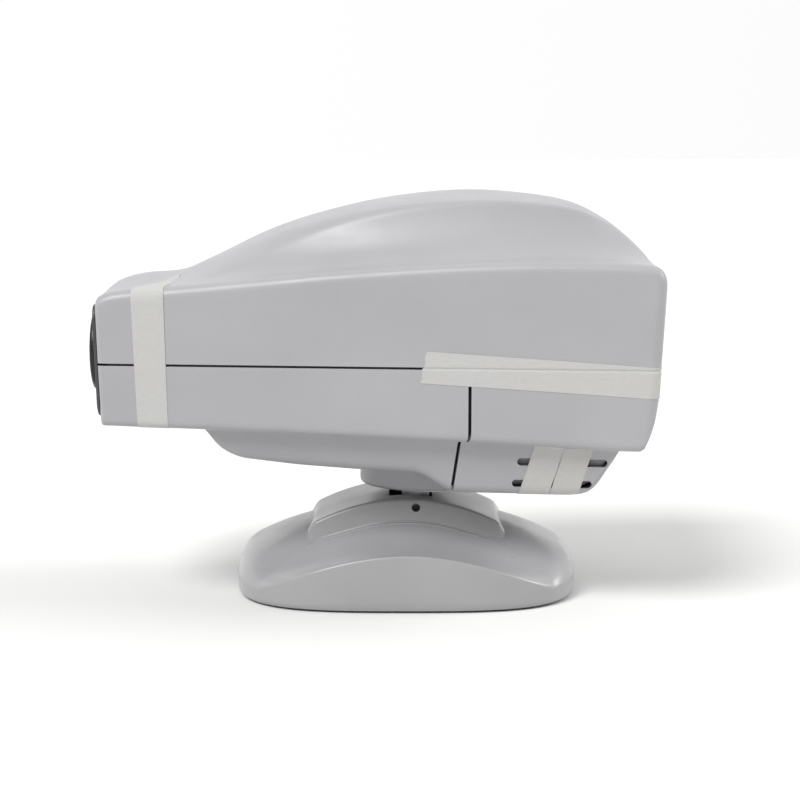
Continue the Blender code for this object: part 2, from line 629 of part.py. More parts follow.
def make_rear_panel():
    face_x = TAIL_X - 0.8
    middle = (PANEL_LOW + PANEL_HIGH) / 2
    panel = prism("rear_panel", rounded(PANEL_HALF_Y, (PANEL_HIGH - PANEL_LOW) / 2, 1.0, (0, middle), 1), "X",
                  face_x - 2.0, face_x, BLACK, parent=pan_pivot)
    outlines = {f"grille_{k}": rounded(16.5, 1.6, 1.59, (FAN_Y, FAN_Z - 13 + 6.5 * k), 2) for k in range(5)}
    outlines["inlet_hole"] = rounded(14.0 + GAP, 10.0 + GAP, 2.0, (INLET_Y, INLET_Z), 2)
    outlines["switch_hole"] = rounded(11.0 + GAP, 5.5 + GAP, 1.0, (SWITCH_Y, SWITCH_Z), 1)
    outlines["fuse_hole"] = circle(6.0 + GAP, (FUSE_Y, FUSE_Z), 16)
    holes = [prism(name, outline, "X", 140, 170, BLACK) for name, outline in outlines.items()]
    for hole in holes:
        cut(panel, hole)
    inlet = prism("power_inlet", rounded(14.0, 10.0, 2.0, (INLET_Y, INLET_Z), 2), "X", 138, face_x + 0.8, BLACK,
                  parent=pan_pivot)
    cut(inlet, prism("inlet_recess", rounded(12.0, 8.0, 3.0, (INLET_Y, INLET_Z), 2), "X", 142, 170, BLACK))
    frame = prism("switch_frame", rounded(11.0, 5.5, 1.0, (SWITCH_Y, SWITCH_Z), 1), "X", 143, face_x + 0.8,
                  BLACK, parent=pan_pivot)
    cut(frame, prism("switch_well", rounded(9.6, 4.4, 0.5, (SWITCH_Y, SWITCH_Z), 1), "X", 146.5, 170, BLACK))
    rocker = [(158.6, SWITCH_Y - 8.6), (157.3, SWITCH_Y), (155.9, SWITCH_Y + 8.6), (151.5, SWITCH_Y + 6.0),
              (149.5, SWITCH_Y), (151.5, SWITCH_Y - 6.0)]
    rocker_piece = prism("power_rocker", [(x - 1.0, y) for x, y in rocker], "Z", SWITCH_Z - 4.0, SWITCH_Z + 4.0,
                         BLACK, (SWITCH_X, SWITCH_Y, SWITCH_Z), switch_pivot)
    fuse = turned("fuse_holder", ((0.0, 138), (6.0, 138), (6.0, 158.2), (5.0, 160), (0.0, 160)), "X",
                  (0, FUSE_Y, FUSE_Z), BLACK, 16, pan_pivot)
    for obj in [panel, inlet, frame, rocker_piece, fuse] + holes:
        sheared(obj, TAIL_LEAN, TAIL_LEAN_TOP)


# ---------------------------------------------------------------- neck and pedestal

def make_neck():
    neck = prism("neck_block", [(TILT_X + x, TILT_Z + z) for x, z in NECK_OUTLINE], "Y", -14.1, 14.1,
                 ALUMINIUM, (TILT_X, 0, TILT_Z), tilt_pivot)
    cut(neck, prism("neck_bore", circle(3.4, (TILT_X, TILT_Z), 20), "Y", -20, 20, STEEL))
    centre = (PAN_X, 0, 0)
    plate_low, plate_high = TILT_Z + 7.0, DRUM_BOTTOM - GAP
    turned("swivel_plate", ((0.0, plate_low), (22.0, plate_low), (22.0, plate_high), (STUD_RADIUS, plate_high),
                            (STUD_RADIUS, 112.0), (0.0, 112.0)), "Z", centre, STEEL, 28, tilt_pivot,
           (TILT_X, 0, TILT_Z))
    nut = prism("stud_nut", circle(10.5, (PAN_X, 0), 6), "Z", STAND_FOOT + 0.1, 110.4, STEEL, parent=tilt_pivot)
    cut(nut, prism("nut_bore", circle(STUD_RADIUS + GAP, (PAN_X, 0), 24), "Z", 100, 116, STEEL))
    tube("pivot_bushing", 9.6, STUD_RADIUS + GAP, DRUM_BOTTOM, CHASSIS_HIGH, "Z", centre, BRASS, 24,
         pan_pivot)
    drum = turned("swivel_drum", ((DRUM_RADIUS - 3.5, DRUM_BOTTOM), (DRUM_RADIUS - 0.9, DRUM_BOTTOM + 1.2),
                                  (DRUM_RADIUS, DRUM_BOTTOM + 3.6), (DRUM_RADIUS, 95.0), (10.0, 95.0),
                                  (10.0, DRUM_BOTTOM)), "Z", centre, HOUSING, 40, pan_pivot)
    under = [(x, belly_line(x) - 0.4) for x in (-60, -30, 7.5, 27.7, 70)]
    cut(drum, prism("drum_top_cut", under + [(70, 130), (-60, 130)], "Y", -60, 60, HOUSING))


def plan_point(angle, half_x=BASE_HALF_X, half_y=BASE_HALF_Y):
    """A point on the pedestal's squarish oval outline."""
    c, s = math.cos(angle), math.sin(angle)
    power = 2.0 / BASE_POWER
    return (half_x * math.copysign(abs(c)**power, c), half_y * math.copysign(abs(s)**power, s))


def dome_height(angle, share):
    """Height of the dome at a share of the way from its middle to its outline."""
    x, _ = plan_point(angle)
    edge = max(CREASE_Z - CREASE_DROP * (x / CREASE_SPAN)**2, CREASE_LOW)
    toward_end = abs(x / BASE_HALF_X)**4
    end_rise = math.sqrt(max(1.0 - share**(1.9 + 3.5 * share**16), 0.0))
    side_rise = (1.0 + math.cos(math.pi * share**1.3)) / 2
    return edge + (DOME_Z - edge) * (toward_end * end_rise + (1.0 - toward_end) * side_rise)


def plan_ring(share, height_of, inset=0.0, steps=48):
    ring = []
    for k in range(steps):
        angle = 2 * math.pi * (k + 0.5) / steps
        x, y = plan_point(angle, BASE_HALF_X - inset, BASE_HALF_Y - inset)
        ring.append(Vector((x * share, y * share, height_of(angle))))
    return ring


def ring_body(name, rings, mat):
    """A closed body from rings that follow each other round its wall."""
    steps = len(rings[0])
    points = [p for ring in rings for p in ring]
    faces = []
    for i in range(len(rings)):
        j = (i + 1) % len(rings)
        for k in range(steps):
            n = (k + 1) % steps
            faces.append((i * steps + k, i * steps + n, j * steps + n, j * steps + k))
    return add(name, points, faces, mat)


def make_pedestal():
    shares = (1.0, 0.985, 0.95, 0.89, 0.8, 0.68, 0.56, 0.44)
    outer = [plan_ring(0.99, lambda a: BASE_BOTTOM)]
    outer += [plan_ring(min(s, 0.995), lambda a, s=s: dome_height(a, s)) for s in shares]
    inner = [plan_ring(s, lambda a, s=s: dome_height(a, s) - WALL, WALL) for s in reversed(shares[1:])]
    inner.append(plan_ring(0.985, lambda a: BASE_BOTTOM, WALL))
    base = ring_body("base_housing", outer + inner, PEDESTAL)
    plan = rounded(SADDLE_HALF_X + SADDLE_FLARE_X + GAP, SADDLE_HALF_Y + SADDLE_FLARE_Y + GAP, 3.0, (0, 0), 3)
    cut(base, prism("saddle_opening", plan, "Z", 20, 80, PEDESTAL))

    plate_low, plate_high = BASE_BOTTOM + GAP, BASE_BOTTOM + 2.3
    plate_rings = [plan_ring(1.0, lambda a, z=z: z, 5.5) for z in (plate_low, plate_high)]
    points = plate_rings[0] + plate_rings[1]
    count = len(plate_rings[0])
    faces = [tuple(range(count)), tuple(range(count, 2 * count))]
    faces += [(k, (k + 1) % count, count + (k + 1) % count, count + k) for k in range(count)]
    add("base_plate", points, faces, STEEL)
    disc("centre_pad", PAD_RADIUS, TABLE_Z, BASE_BOTTOM, "Z", (0, 0, 0), STEEL, 28)
    corners = [(side * FOOT_X, across * FOOT_Y) for side in (-1, 1) for across in (-1, 1)]
    for number, (x, y) in enumerate(corners, 1):
        disc(f"foot_{number}", FOOT_RADIUS, TABLE_Z, BASE_BOTTOM, "Z", (x, y, 0), RUBBER, 20)
    box("counterweight", (-70, -50, plate_high + GAP), (70, 50, 14.0), STEEL)


def saddle_half(x, inset):
    """Half of a cross-section of the saddle, from its hidden foot up to the middle."""
    past = max(abs(x) - SADDLE_HALF_X, 0.0) / SADDLE_FLARE_X
    top = SADDLE_TOP - SADDLE_DROP * (x / SADDLE_HALF_X)**2 - 9.0 * past - inset
    edge = SADDLE_HALF_Y - inset
    flare = SADDLE_HALF_Y + SADDLE_FLARE_Y - inset
    return [(flare, SADDLE_FOOT), (flare, min(top, 48.0) - 10.0), (edge + 0.4, top - 1.2), (edge - 1.2, top),
            (0.0, top)]


def make_saddle():
    full = SADDLE_HALF_X + SADDLE_FLARE_X
    stations = [-full, -SADDLE_HALF_X, -48, -32, -16, 0, 16, 32, 48, SADDLE_HALF_X, full]

    def rows(inset):
        squeeze = (full - inset) / full
        return [mirrored(saddle_half(x * squeeze, inset), lambda index, z, x=x: x * squeeze) for x in stations]

    saddle = tray("base_saddle", rows(0.0), rows(WALL), PEDESTAL, True, True)
    cut(saddle, box("neck_slot", (TILT_X - NECK_SLOT_HALF_X, -NECK_SLOT_HALF_Y, 20),
                    (TILT_X + NECK_SLOT_HALF_X, NECK_SLOT_HALF_Y, 80), PEDESTAL))
    cut(saddle, prism("screw_access", circle(2.8, (TILT_X, TILT_Z), 20), "Y", -60, -30, PEDESTAL))


def make_tilt_bearing():
    cheek = [(-14, 14.3), (26.6, 14.3), (26.6, 36), (TILT_X + 5.2, TILT_Z + 1), (TILT_X + 3, TILT_Z + 4.6),
             (TILT_X - 3, TILT_Z + 4.6), (TILT_X - 5.2, TILT_Z + 1), (-14, 36)]
    for name, low, high in (("near", -18.5, -14.5), ("far", 14.5, 18.5)):
        plate = prism(f"tilt_cheek_{name}", cheek, "Y", low, high, STEEL)
        bore = circle(3.3, (TILT_X, TILT_Z), 20)
        cut(plate, prism(f"cheek_bore_{name}", bore, "Y", low - 3, high + 3, STEEL))
    turned("tilt_axle", ((0.0, -23.0), (4.6, -23.0), (4.6, -18.8), (3.0, -18.8), (3.0, 23.0), (0.0, 23.0)), "Y",
           (TILT_X, 0, TILT_Z), STEEL, 20)
    tube("axle_nut", 4.6, 3.3, 18.8, 22.4, "Y", (TILT_X, 0, TILT_Z), STEEL, 12)


make_shells()
make_nose()
make_optics()
make_light()
make_discs()
make_chassis()
make_fan()
make_rear_panel()
make_neck()
make_pedestal()
make_saddle()
make_tilt_bearing()
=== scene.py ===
"""Looks for the eye-chart projector: moulded shells, black strips that paint the shade in the parting gaps,
masking tape, optics and every material.

Shapes are worked out in millimetres from outer lines like the CAD part's, with heights
measured from its datum; place() turns them into metres in the frame.
"""

import json
import math

import bmesh
import bpy
import numpy as np
from mathutils import Matrix, Vector


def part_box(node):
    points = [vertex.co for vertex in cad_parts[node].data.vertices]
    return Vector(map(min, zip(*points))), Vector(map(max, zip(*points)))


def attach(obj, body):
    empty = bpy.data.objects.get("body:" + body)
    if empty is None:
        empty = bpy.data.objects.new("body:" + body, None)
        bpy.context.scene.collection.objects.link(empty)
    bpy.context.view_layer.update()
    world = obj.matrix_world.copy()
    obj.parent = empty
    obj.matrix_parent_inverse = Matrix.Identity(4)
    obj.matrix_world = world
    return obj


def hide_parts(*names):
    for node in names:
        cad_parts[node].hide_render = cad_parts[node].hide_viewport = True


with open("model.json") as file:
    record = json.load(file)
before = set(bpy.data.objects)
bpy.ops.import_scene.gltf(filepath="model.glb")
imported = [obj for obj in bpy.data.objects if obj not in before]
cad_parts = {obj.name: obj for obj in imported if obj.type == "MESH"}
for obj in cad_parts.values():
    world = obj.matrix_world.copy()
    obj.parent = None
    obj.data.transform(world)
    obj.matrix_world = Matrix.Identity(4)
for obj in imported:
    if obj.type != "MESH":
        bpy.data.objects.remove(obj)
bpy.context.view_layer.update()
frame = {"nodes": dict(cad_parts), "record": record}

MM = 0.001
WALL = 3.0

# Head: outer size, parting lines, soft bends and the lean of its two ends
NOSE_X, TAIL_X = -193.5, 158.5
NOSE_HALF, TAIL_HALF = 75.0, 113.0
SEAM_Z, SEAM_GAP = 151.0, 1.5
PARTING_X, PARTING_GAP = 39.0, 2.0
PARTING_REACH, PARTING_STEP = 30.0, 11.0
UPPER_DRAFT, LOWER_DRAFT = 0.5, 1.0
BELLY_INSET, BELLY_DRAFT, BELLY_BEND = 12.0, 0.28, 7.0
EDGE_BEND, FLAT_EDGE_BEND, SHOULDER_BEND = 6.0, 5.0, 8.0
UNDERSIDE_BEND, UNDERSIDE_FALL, UNDERSIDE_SHARE = 2.2, 0.3, 0.55
CROWN, REAR_CROWN, SCOOP_POWER = 6.0, 3.4, 2.9
TAIL_ROUND, NOSE_ROUND = 7.0, 2.5
NOSE_LEAN = math.tan(math.radians(2.0))
TAIL_LEAN = math.tan(math.radians(3.35))
TAIL_LEAN_TOP = 205.0
AXIS_Z = 153.0

# Lines along the head as (x, height): the crest, the ledge beside it, the foot of the side walls
# and the belly, which climbs past the walls' foot where it begins and ends
CREST = ((-194, 193.5), (-187, 199), (-172, 203.5), (-147, 206), (-130, 213), (-84, 234.5), (-37, 248.5),
         (2, 255.5), (42, 258.3), (82, 255.5), (109, 250), (128, 240.5), (142, 230), (155, 217.5),
         (159, 213.5))
LEDGE = ((-194, 191.5), (-187, 195.5), (-172, 198), (-147, 200), (-85, 206), (-43, 210), (29, 215),
         (90, 217), (146, 215.5), (159, 212))
WALL_FOOT = ((-194, 112), (-125, 110.5), (38, 105), (130, 101), (151, 101), (154, 108.5), (156.7, 118),
             (158.5, 132))
BELLY = ((-194, 200), (-127, 109.5), (-118, 96), (-106, 90), (-68, 86), (-30, 83.7), (8, 82.5), (28, 69.5),
         (109, 69.5), (116.5, 71.6), (122.5, 76.5), (129.5, 88), (135.5, 98.5), (143.5, 200))

# The crest's half width, and how far the bend at its rim reaches, as (x, size)
CREST_HALF = ((-194, 34), (-130, 38), (-40, 54), (40, 57), (110, 55), (159, 47))
RIM_BEND = ((-194, 14), (-120, 16), (-60, 9), (0, 5), (60, 3.2), (120, 2.2), (159, 2.0))

# Openings: the lens, the swivel stud, the rear panel, and each vent as (low x, high x, z)
LENS_HOLE, STUD_HOLE = 30.0, 10.2
PANEL_HALF_Y, PANEL_LOW, PANEL_HIGH, PANEL_PLAY = 52.0, 157.0, 199.0, 0.3
VENTS = ((69, 124.5, 91.6), (66, 115.5, 77.3))
VENT_HALF_Z = 2.5

# Front plate with its two holes, the focus ring, and the places on the rear panel as (y, z)
PLATE_HALF_Y, PLATE_HALF_Z, PLATE_CORNER, PLATE_Z = 73.0, 35.2, 9.0, 152.8
PLATE_LENS_HOLE = 27.8
WINDOW_Y, WINDOW_Z, WINDOW_HOLE = 48, 172, 6.3
FOCUS_RING_X = -206.0
PANEL_FACE_X = 157.7
INLET_Y, INLET_Z = 31.0, 170.0
FUSE_Y, FUSE_Z = 5.0, 188.0
PANEL_SCREWS = ((-46, 163), (-46, 193), (47.5, 161.5), (47.5, 194.5))

# Screws under the head and under the pedestal as (x, y)
BELLY_SCREWS = ((-88, -50), (-88, 50), (96, -62), (96, 62))
BASE_SCREWS = ((-94, 0), (94, 0), (0, -78), (0, 78))

# Black strips that paint the shade in the parting gaps, and the vents' duct wall, inside the shells
SHADE_STRIP_GAP, SHADE_STRIP_THICK, SHADE_STRIP_REACH = 0.2, 2.0, 5.0
DUCT_GAP, DUCT_THICK, DUCT_LOW_X, DUCT_HIGH_X = 1.2, 1.4, 60.0, 131.0

# Masking tape
TAPE_WIDTH, TAPE_LIFT, TAPE_THICK = 20.0, 0.30, 0.22
FRONT_TAPE_X = -170.0
SIDE_TAPE_X, SIDE_TAPE_Z, SIDE_TAPE_WRAP = 10.5, 151.8, 38.0
SIDE_TAPE_FALL, SIDE_TAPE_RUN = 8.2, 145.0
VENT_TAPE_FOOT, VENT_TAPE_LENGTH = 71.5, 48.0

# Swivel and pedestal
PAN_X, DRUM_RADIUS, DRUM_BOTTOM, DRUM_BORE = 12.0, 42.5, 64.2, 10.0
DRUM_EDGE, DRUM_WALL = 5.0, 8.0
TILT_X, TILT_Z, TILT_SCREW_HOLE = 6.3, 53.8, 2.8
BASE_HALF_X, BASE_HALF_Y, BASE_POWER = 111.5, 96.5, 3.2
BASE_BOTTOM = -2.0
DOME_Z = 50.2
CREASE_Z, CREASE_DROP, CREASE_SPAN, CREASE_LOW = 33.2, 25.0, 89.0, 4.5
SADDLE_HALF_X, SADDLE_HALF_Y = 60.0, 40.0
SADDLE_FLARE_X, SADDLE_FLARE_Y = 4.0, 6.0
SADDLE_TOP, SADDLE_DROP = 59.2, 15.0
NECK_SLOT_AHEAD, NECK_SLOT_BEHIND, NECK_SLOT_HALF_Y = 17.5, 11.0, 24.0

# Half the floor and the camera's place in metres, and the camera's tilt in degrees
FLOOR_HALF = 30.0
CAMERA_X, CAMERA_Y, CAMERA_Z = -0.004, -1.3, 0.290
CAMERA_PITCH, CAMERA_LENS = 7.5, 88.7

# The datum's height above the table, from the upper shell's lower edge in the frame
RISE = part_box("upper_shell")[0].z / MM - (SEAM_Z + SEAM_GAP / 2)


# ---------------- lines and sections

def smooth_through(stations):
    """A function of x that runs smoothly through the stations."""
    xs = np.array([s[0] for s in stations], float)
    vs = np.array([s[1] for s in stations], float)
    after, before = np.append(vs[1:], vs[-1]), np.append(vs[0], vs[:-1])
    slopes = (after - before) / (np.append(xs[1:], xs[-1]) - np.append(xs[0], xs[:-1]))

    def value(x):
        x = min(max(x, xs[0]), xs[-1])
        i = min(int(np.searchsorted(xs, x, side="right")) - 1, len(xs) - 2)
        span = xs[i + 1] - xs[i]
        t = (x - xs[i]) / span
        return float((2 * t**3 - 3 * t**2 + 1) * vs[i] + (t**3 - 2 * t**2 + t) * span * slopes[i]
                     + (3 * t**2 - 2 * t**3) * vs[i + 1] + (t**3 - t**2) * span * slopes[i + 1])
    return value


def run_along(points):
    """How far along a line each of its points lies."""
    return np.concatenate(([0.0], np.cumsum(np.linalg.norm(np.diff(points, axis=0), axis=1))))


def spaced(points, count, trim_start=0.0, trim_end=0.0):
    """Points evenly spaced along a line, whose two ends are trimmed."""
    pts = np.asarray(points, float)
    run = run_along(pts)
    at = np.linspace(min(trim_start, 0.45 * run[-1]), run[-1] - min(trim_end, 0.45 * run[-1]), count)
    return np.stack([np.interp(at, run, pts[:, k]) for k in range(pts.shape[1])], 1)


def bend(start, corner, end, count):
    """The inner points of a soft corner."""
    t = np.linspace(0, 1, count + 2)[1:-1, None]
    return (1 - t)**2 * np.asarray(start) + 2 * t * (1 - t) * np.asarray(corner) + t**2 * np.asarray(end)


def softened(lines, reaches, counts, bend_count=7):
    """Lines joined end to end, with a soft bend at each joint that reaches so far along both."""
    last = len(lines) - 1
    parts = [spaced(line, counts[i], reaches[i - 1] if i else 0.0, reaches[i] if i < last else 0.0)
             for i, line in enumerate(lines)]
    joined = [parts[0]]
    for i in range(1, len(parts)):
        joined.append(bend(parts[i - 1][-1], lines[i][0], parts[i][0], bend_count))
        joined.append(parts[i])
    return np.concatenate(joined)


def rounded_line(corners, reach):
    """A function of x that follows straight stretches with soft corners between them."""
    pts = [np.array(c, float) for c in corners]
    line = [pts[0]]
    for a, b, c in zip(pts, pts[1:], pts[2:]):
        start = b + (a - b) * min(reach / np.linalg.norm(a - b), 0.48)
        end = b + (c - b) * min(reach / np.linalg.norm(c - b), 0.48)
        line += [start, *bend(start, b, end, 5), end]
    line.append(pts[-1])
    table = np.array(line)
    return lambda x: float(np.interp(x, table[:, 0], table[:, 1]))


crest_z = smooth_through(CREST)
ledge_z = smooth_through(LEDGE)
crest_half = smooth_through(CREST_HALF)
rim_bend = smooth_through(RIM_BEND)
wall_foot = rounded_line(WALL_FOOT, 2.5)
belly_line = rounded_line(BELLY, 6.0)


def ramp(x, start, run):
    """0 up to the start, then an even rise to 1 over the run; a negative run goes towards -X."""
    return min(max((x - start) / run, 0.0), 1.0)


def half_width(x):
    """Half of the head's width in plan, which grows evenly towards the tail."""
    return NOSE_HALF + (TAIL_HALF - NOSE_HALF) * (x - NOSE_X) / (TAIL_X - NOSE_X)


def end_inset(x):
    """How far the outline draws in where it rounds over at the nose and the tail."""
    past_tail = ramp(x, TAIL_X - TAIL_ROUND, TAIL_ROUND)
    past_nose = ramp(x, NOSE_X + NOSE_ROUND, -NOSE_ROUND)
    return TAIL_ROUND * (1 - math.sqrt(1 - past_tail**2)) + NOSE_ROUND * (1 - math.sqrt(1 - past_nose**2))


def lean(x, z):
    """The nose and the tail are not quite upright."""
    at_nose = -NOSE_LEAN * (z - AXIS_Z) * ramp(x, -150.0, -40.0)
    at_tail = TAIL_LEAN * min(z - TAIL_LEAN_TOP, 0.0) * ramp(x, 100.0, 50.0)
    return at_nose + at_tail


def upper_half(x, inset=0.0):
    """Half of a cross-section of the upper shell as (y, z), from the seam to the middle of the crest."""
    drawn = inset + end_inset(x)
    width, ledge, crest = half_width(x) - drawn, ledge_z(x) - drawn, crest_z(x) - drawn
    outer = width - UPPER_DRAFT
    rim_y = crest_half(x) - 0.8 * drawn
    crown_rise = CROWN + (REAR_CROWN - CROWN) * ramp(x, 40.0, 80.0)
    rim_z = crest - min(crown_rise, 0.6 * (crest - ledge))
    wall = [(width, SEAM_Z + SEAM_GAP / 2), (outer, ledge)]
    scoop = [(rim_y + (outer - rim_y) * s, ledge + (rim_z - ledge) * (1 - s)**SCOOP_POWER)
             for s in np.linspace(1, 0, 60)]
    crown = [(rim_y * s, crest - (crest - rim_z) * s**2) for s in np.linspace(1, 0, 24)]
    return softened([wall, scoop, crown], [SHOULDER_BEND, rim_bend(x)], [12, 30, 14], 8)


def parting_step(x):
    """Below the side walls the parting line steps forward; this is its full step near the line."""
    return -PARTING_STEP * max(1.0 - abs(x - PARTING_X) / PARTING_REACH, 0.0)


def lower_half(x, inset=0.0):
    """Half of a lower section as (y, z, share of the parting step), from the seam to the middle."""
    belly_x = x + parting_step(x)
    width = half_width(x) - inset - end_inset(x)
    foot = wall_foot(x) + inset + (0.4 * end_inset(x) if x < 0 else 0.0)
    bottom = min(belly_line(belly_x) + inset, foot - 1.0)
    side = half_width(belly_x) - BELLY_INSET - inset
    wall_end = (width - LOWER_DRAFT, foot, 0.0)
    flank_top = (side, foot - UNDERSIDE_FALL, UNDERSIDE_SHARE)
    flank_end = (side - BELLY_DRAFT * (foot - bottom), bottom, 1.0)
    lines = [[(width, SEAM_Z - SEAM_GAP / 2, 0.0), wall_end], [wall_end, flank_top], [flank_top, flank_end],
             [flank_end, (0.0, bottom, 1.0)]]
    edge_bend = EDGE_BEND if foot > bottom + 2 else FLAT_EDGE_BEND
    belly_bend = min(BELLY_BEND, 0.45 * (foot - bottom))
    return softened(lines, [edge_bend, UNDERSIDE_BEND, belly_bend], [12, 6, 12, 24])


def mirrored(xs, half):
    """A whole section from +Y to -Y, from its half's points and the x of each."""
    right = np.stack([xs, half[:, 0], half[:, 1]], 1)
    return np.concatenate([right, right[-2::-1] * (1, -1, 1)])


def whole_section(half, x, step=0.0):
    """A whole cross-section of the head, from its half at x."""
    share = half[:, 2] if half.shape[1] == 3 else np.zeros(len(half))
    xs = np.array([x + lean(x, z) for z in half[:, 1]]) + step * share
    return mirrored(xs, half)


def sections(stations, half_of, inset, low, high, low_inset=0.0, high_inset=0.0):
    """Cross-sections at the stations, squeezed between two ends that draw in by their own amounts."""
    rows = []
    for x in stations:
        share = (x - low) / (high - low)
        at = low + low_inset + share * (high - high_inset - low - low_inset)
        step = parting_step(at) if half_of is lower_half else 0.0
        rows.append(whole_section(half_of(at, inset), at, step))
    return np.array(rows)


# ---------------- making pieces

def place(points):
    """Points in millimetres from the datum, as metres in the frame."""
    pts = np.asarray(points, float).reshape(-1, 3)
    return (pts + (0, 0, RISE)) * MM


def add_object(name, data):
    """A new object in the scene."""
    obj = bpy.data.objects.new(name, data)
    bpy.context.collection.objects.link(obj)
    return obj


def piece(name, points, faces, mat, body, stands_for=(), sharp=40.0, weld=0.0):
    """Make one mesh piece, closed and facing outward, that rides on a body."""
    mesh = bpy.data.meshes.new(name)
    mesh.from_pydata([tuple(p) for p in place(points)], [], [tuple(int(i) for i in f) for f in faces])
    work = bmesh.new()
    work.from_mesh(mesh)
    if weld:
        bmesh.ops.remove_doubles(work, verts=work.verts, dist=weld * MM)
    bmesh.ops.recalc_face_normals(work, faces=work.faces)
    work.to_mesh(mesh)
    work.free()
    mesh.materials.append(mat)
    mesh.shade_smooth()
    mesh.set_sharp_from_angle(angle=math.radians(sharp))
    obj = add_object(name, mesh)
    if body:
        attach(obj, body)
    if stands_for:
        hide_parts(*stands_for)
    return obj


def carve(obj, *cutters):
    """Take the cutters away from a piece, and remove them."""
    for cutter in cutters:
        boolean = obj.modifiers.new("carve", "BOOLEAN")
        boolean.operation = "DIFFERENCE"
        boolean.solver = "EXACT"
        boolean.object = cutter
    bpy.context.view_layer.update()
    made = bpy.data.meshes.new_from_object(obj.evaluated_get(bpy.context.evaluated_depsgraph_get()))
    obj.modifiers.clear()
    old, obj.data = obj.data, made
    made.name = old.name
    bpy.data.meshes.remove(old)
    made.set_sharp_from_angle(angle=math.radians(32))
    for cutter in cutters:
        bpy.data.meshes.remove(cutter.data)


def level_faces(obj):
    """Keep large flat faces flat in the shading, next to small round edges."""
    level = obj.modifiers.new("level", "WEIGHTED_NORMAL")
    level.keep_sharp = True
    level.weight = 60


def loft_faces(rows, columns, start=0, closed_rows=False, closed_columns=False):
    """Faces between neighbours in a grid of points; a closed direction joins its last to its first."""
    faces = []
    for i in range(rows if closed_rows else rows - 1):
        for j in range(columns if closed_columns else columns - 1):
            n, m = (i + 1) % rows, (j + 1) % columns
            faces.append((start + i * columns + j, start + i * columns + m, start + n * columns + m,
                          start + n * columns + j))
    return faces


def layer_faces(rows, columns):
    """Faces of two matching grids that follow each other, the second one facing the other way."""
    return loft_faces(rows, columns) + [f[::-1] for f in loft_faces(rows, columns, rows * columns)]


def shell(name, outer, inner, close_front, close_back, mat, body, stands_for=()):
    """A moulded shell between matching outer and inner sections, with flat ends where it is closed."""
    rows, columns = outer.shape[:2]
    shift = rows * columns
    faces = layer_faces(rows, columns)
    for i in range(rows - 1):
        for j in (0, columns - 1):
            a, b = i * columns + j, (i + 1) * columns + j
            faces.append((a, b, shift + b, shift + a))
    for i, closed in ((0, close_front), (rows - 1, close_back)):
        first, last = i * columns, (i + 1) * columns - 1
        if closed:
            # Strips across the end, of which the middle one is a triangle
            for k in range(columns // 2):
                strip = tuple(dict.fromkeys((first + k, first + k + 1, last - k - 1, last - k)))
                faces += [strip, tuple(shift + v for v in strip)]
            faces.append((first, last, shift + last, shift + first))
        else:
            faces += [(j, j + 1, shift + j + 1, shift + j) for j in range(first, last)]
    points = np.concatenate([outer.reshape(-1, 3), inner.reshape(-1, 3)])
    return piece(name, points, faces, mat, body, stands_for)


def prism(name, outline, axis, low, high, mat=None, body=None, slope=0.0):
    """Extrude a closed outline along an axis; a slope leans it like the tail."""
    order = {"X": lambda a, b, c: (c + slope * (b - TAIL_LEAN_TOP), a, b),
             "Y": lambda a, b, c: (a, c, b),
             "Z": lambda a, b, c: (a, b, c)}[axis]
    count = len(outline)
    points = [order(a, b, low) for a, b in outline] + [order(a, b, high) for a, b in outline]
    faces = [tuple(range(count)), tuple(range(count, 2 * count))]
    faces += [(i, (i + 1) % count, count + (i + 1) % count, count + i) for i in range(count)]
    return piece(name, points, faces, mat or MATERIALS["housing_grey"], body)


def rounded(half_a, half_b, radius, centre=(0, 0), steps=8):
    """Outline of a rectangle with round corners."""
    points = []
    for quarter, (sa, sb) in enumerate(((1, 1), (-1, 1), (-1, -1), (1, -1))):
        for k in range(steps + 1):
            angle = math.radians(90 * quarter + 90 * k / steps)
            points.append((centre[0] + sa * (half_a - radius) + radius * math.cos(angle),
                           centre[1] + sb * (half_b - radius) + radius * math.sin(angle)))
    return points


def circle(radius, centre=(0, 0), segments=64):
    """Outline of a circle."""
    return [(centre[0] + radius * math.cos(2 * math.pi * k / segments),
             centre[1] + radius * math.sin(2 * math.pi * k / segments)) for k in range(segments)]


def turned(name, profile, axis, centre, mat, body, segments=72, stands_for=(), wave=None):
    """Spin a profile of (radius, height) round X or Z; a wave changes the radius with the angle."""
    turn = {"X": Matrix(((0, 0, 1), (0, 1, 0), (-1, 0, 0))), "Z": Matrix.Identity(3)}[axis]
    solid = profile[0][0] == 0.0
    rows = profile[1:-1] if solid else profile
    origin, points = Vector(centre), []
    for i, (radius, height) in enumerate(rows):
        for k in range(segments):
            angle = 2 * math.pi * k / segments
            r = radius + (wave(i, angle) if wave else 0.0)
            points.append(origin + turn @ Vector((r * math.cos(angle), r * math.sin(angle), height)))
    count = len(rows)
    faces = loft_faces(count, segments, 0, not solid, True)
    if solid:
        low, high = len(points), len(points) + 1
        points += [origin + turn @ Vector((0, 0, profile[end][1])) for end in (0, -1)]
        for k in range(segments):
            n = (k + 1) % segments
            faces.append((low, n, k))
            faces.append((high, (count - 1) * segments + k, (count - 1) * segments + n))
    return piece(name, points, faces, mat, body, stands_for)


# ---------------- materials

def principled(name, color, roughness, **fixed):
    """A Principled material; the fixed values go straight on the shader's sockets."""
    mat = bpy.data.materials.new(name)
    mat.use_nodes = True
    shader = mat.node_tree.nodes["Principled BSDF"]
    shader.inputs["Base Color"].default_value = (*color, 1.0)
    shader.inputs["Roughness"].default_value = roughness
    for socket, value in fixed.items():
        shader.inputs[socket.replace("_", " ")].default_value = value
    return mat


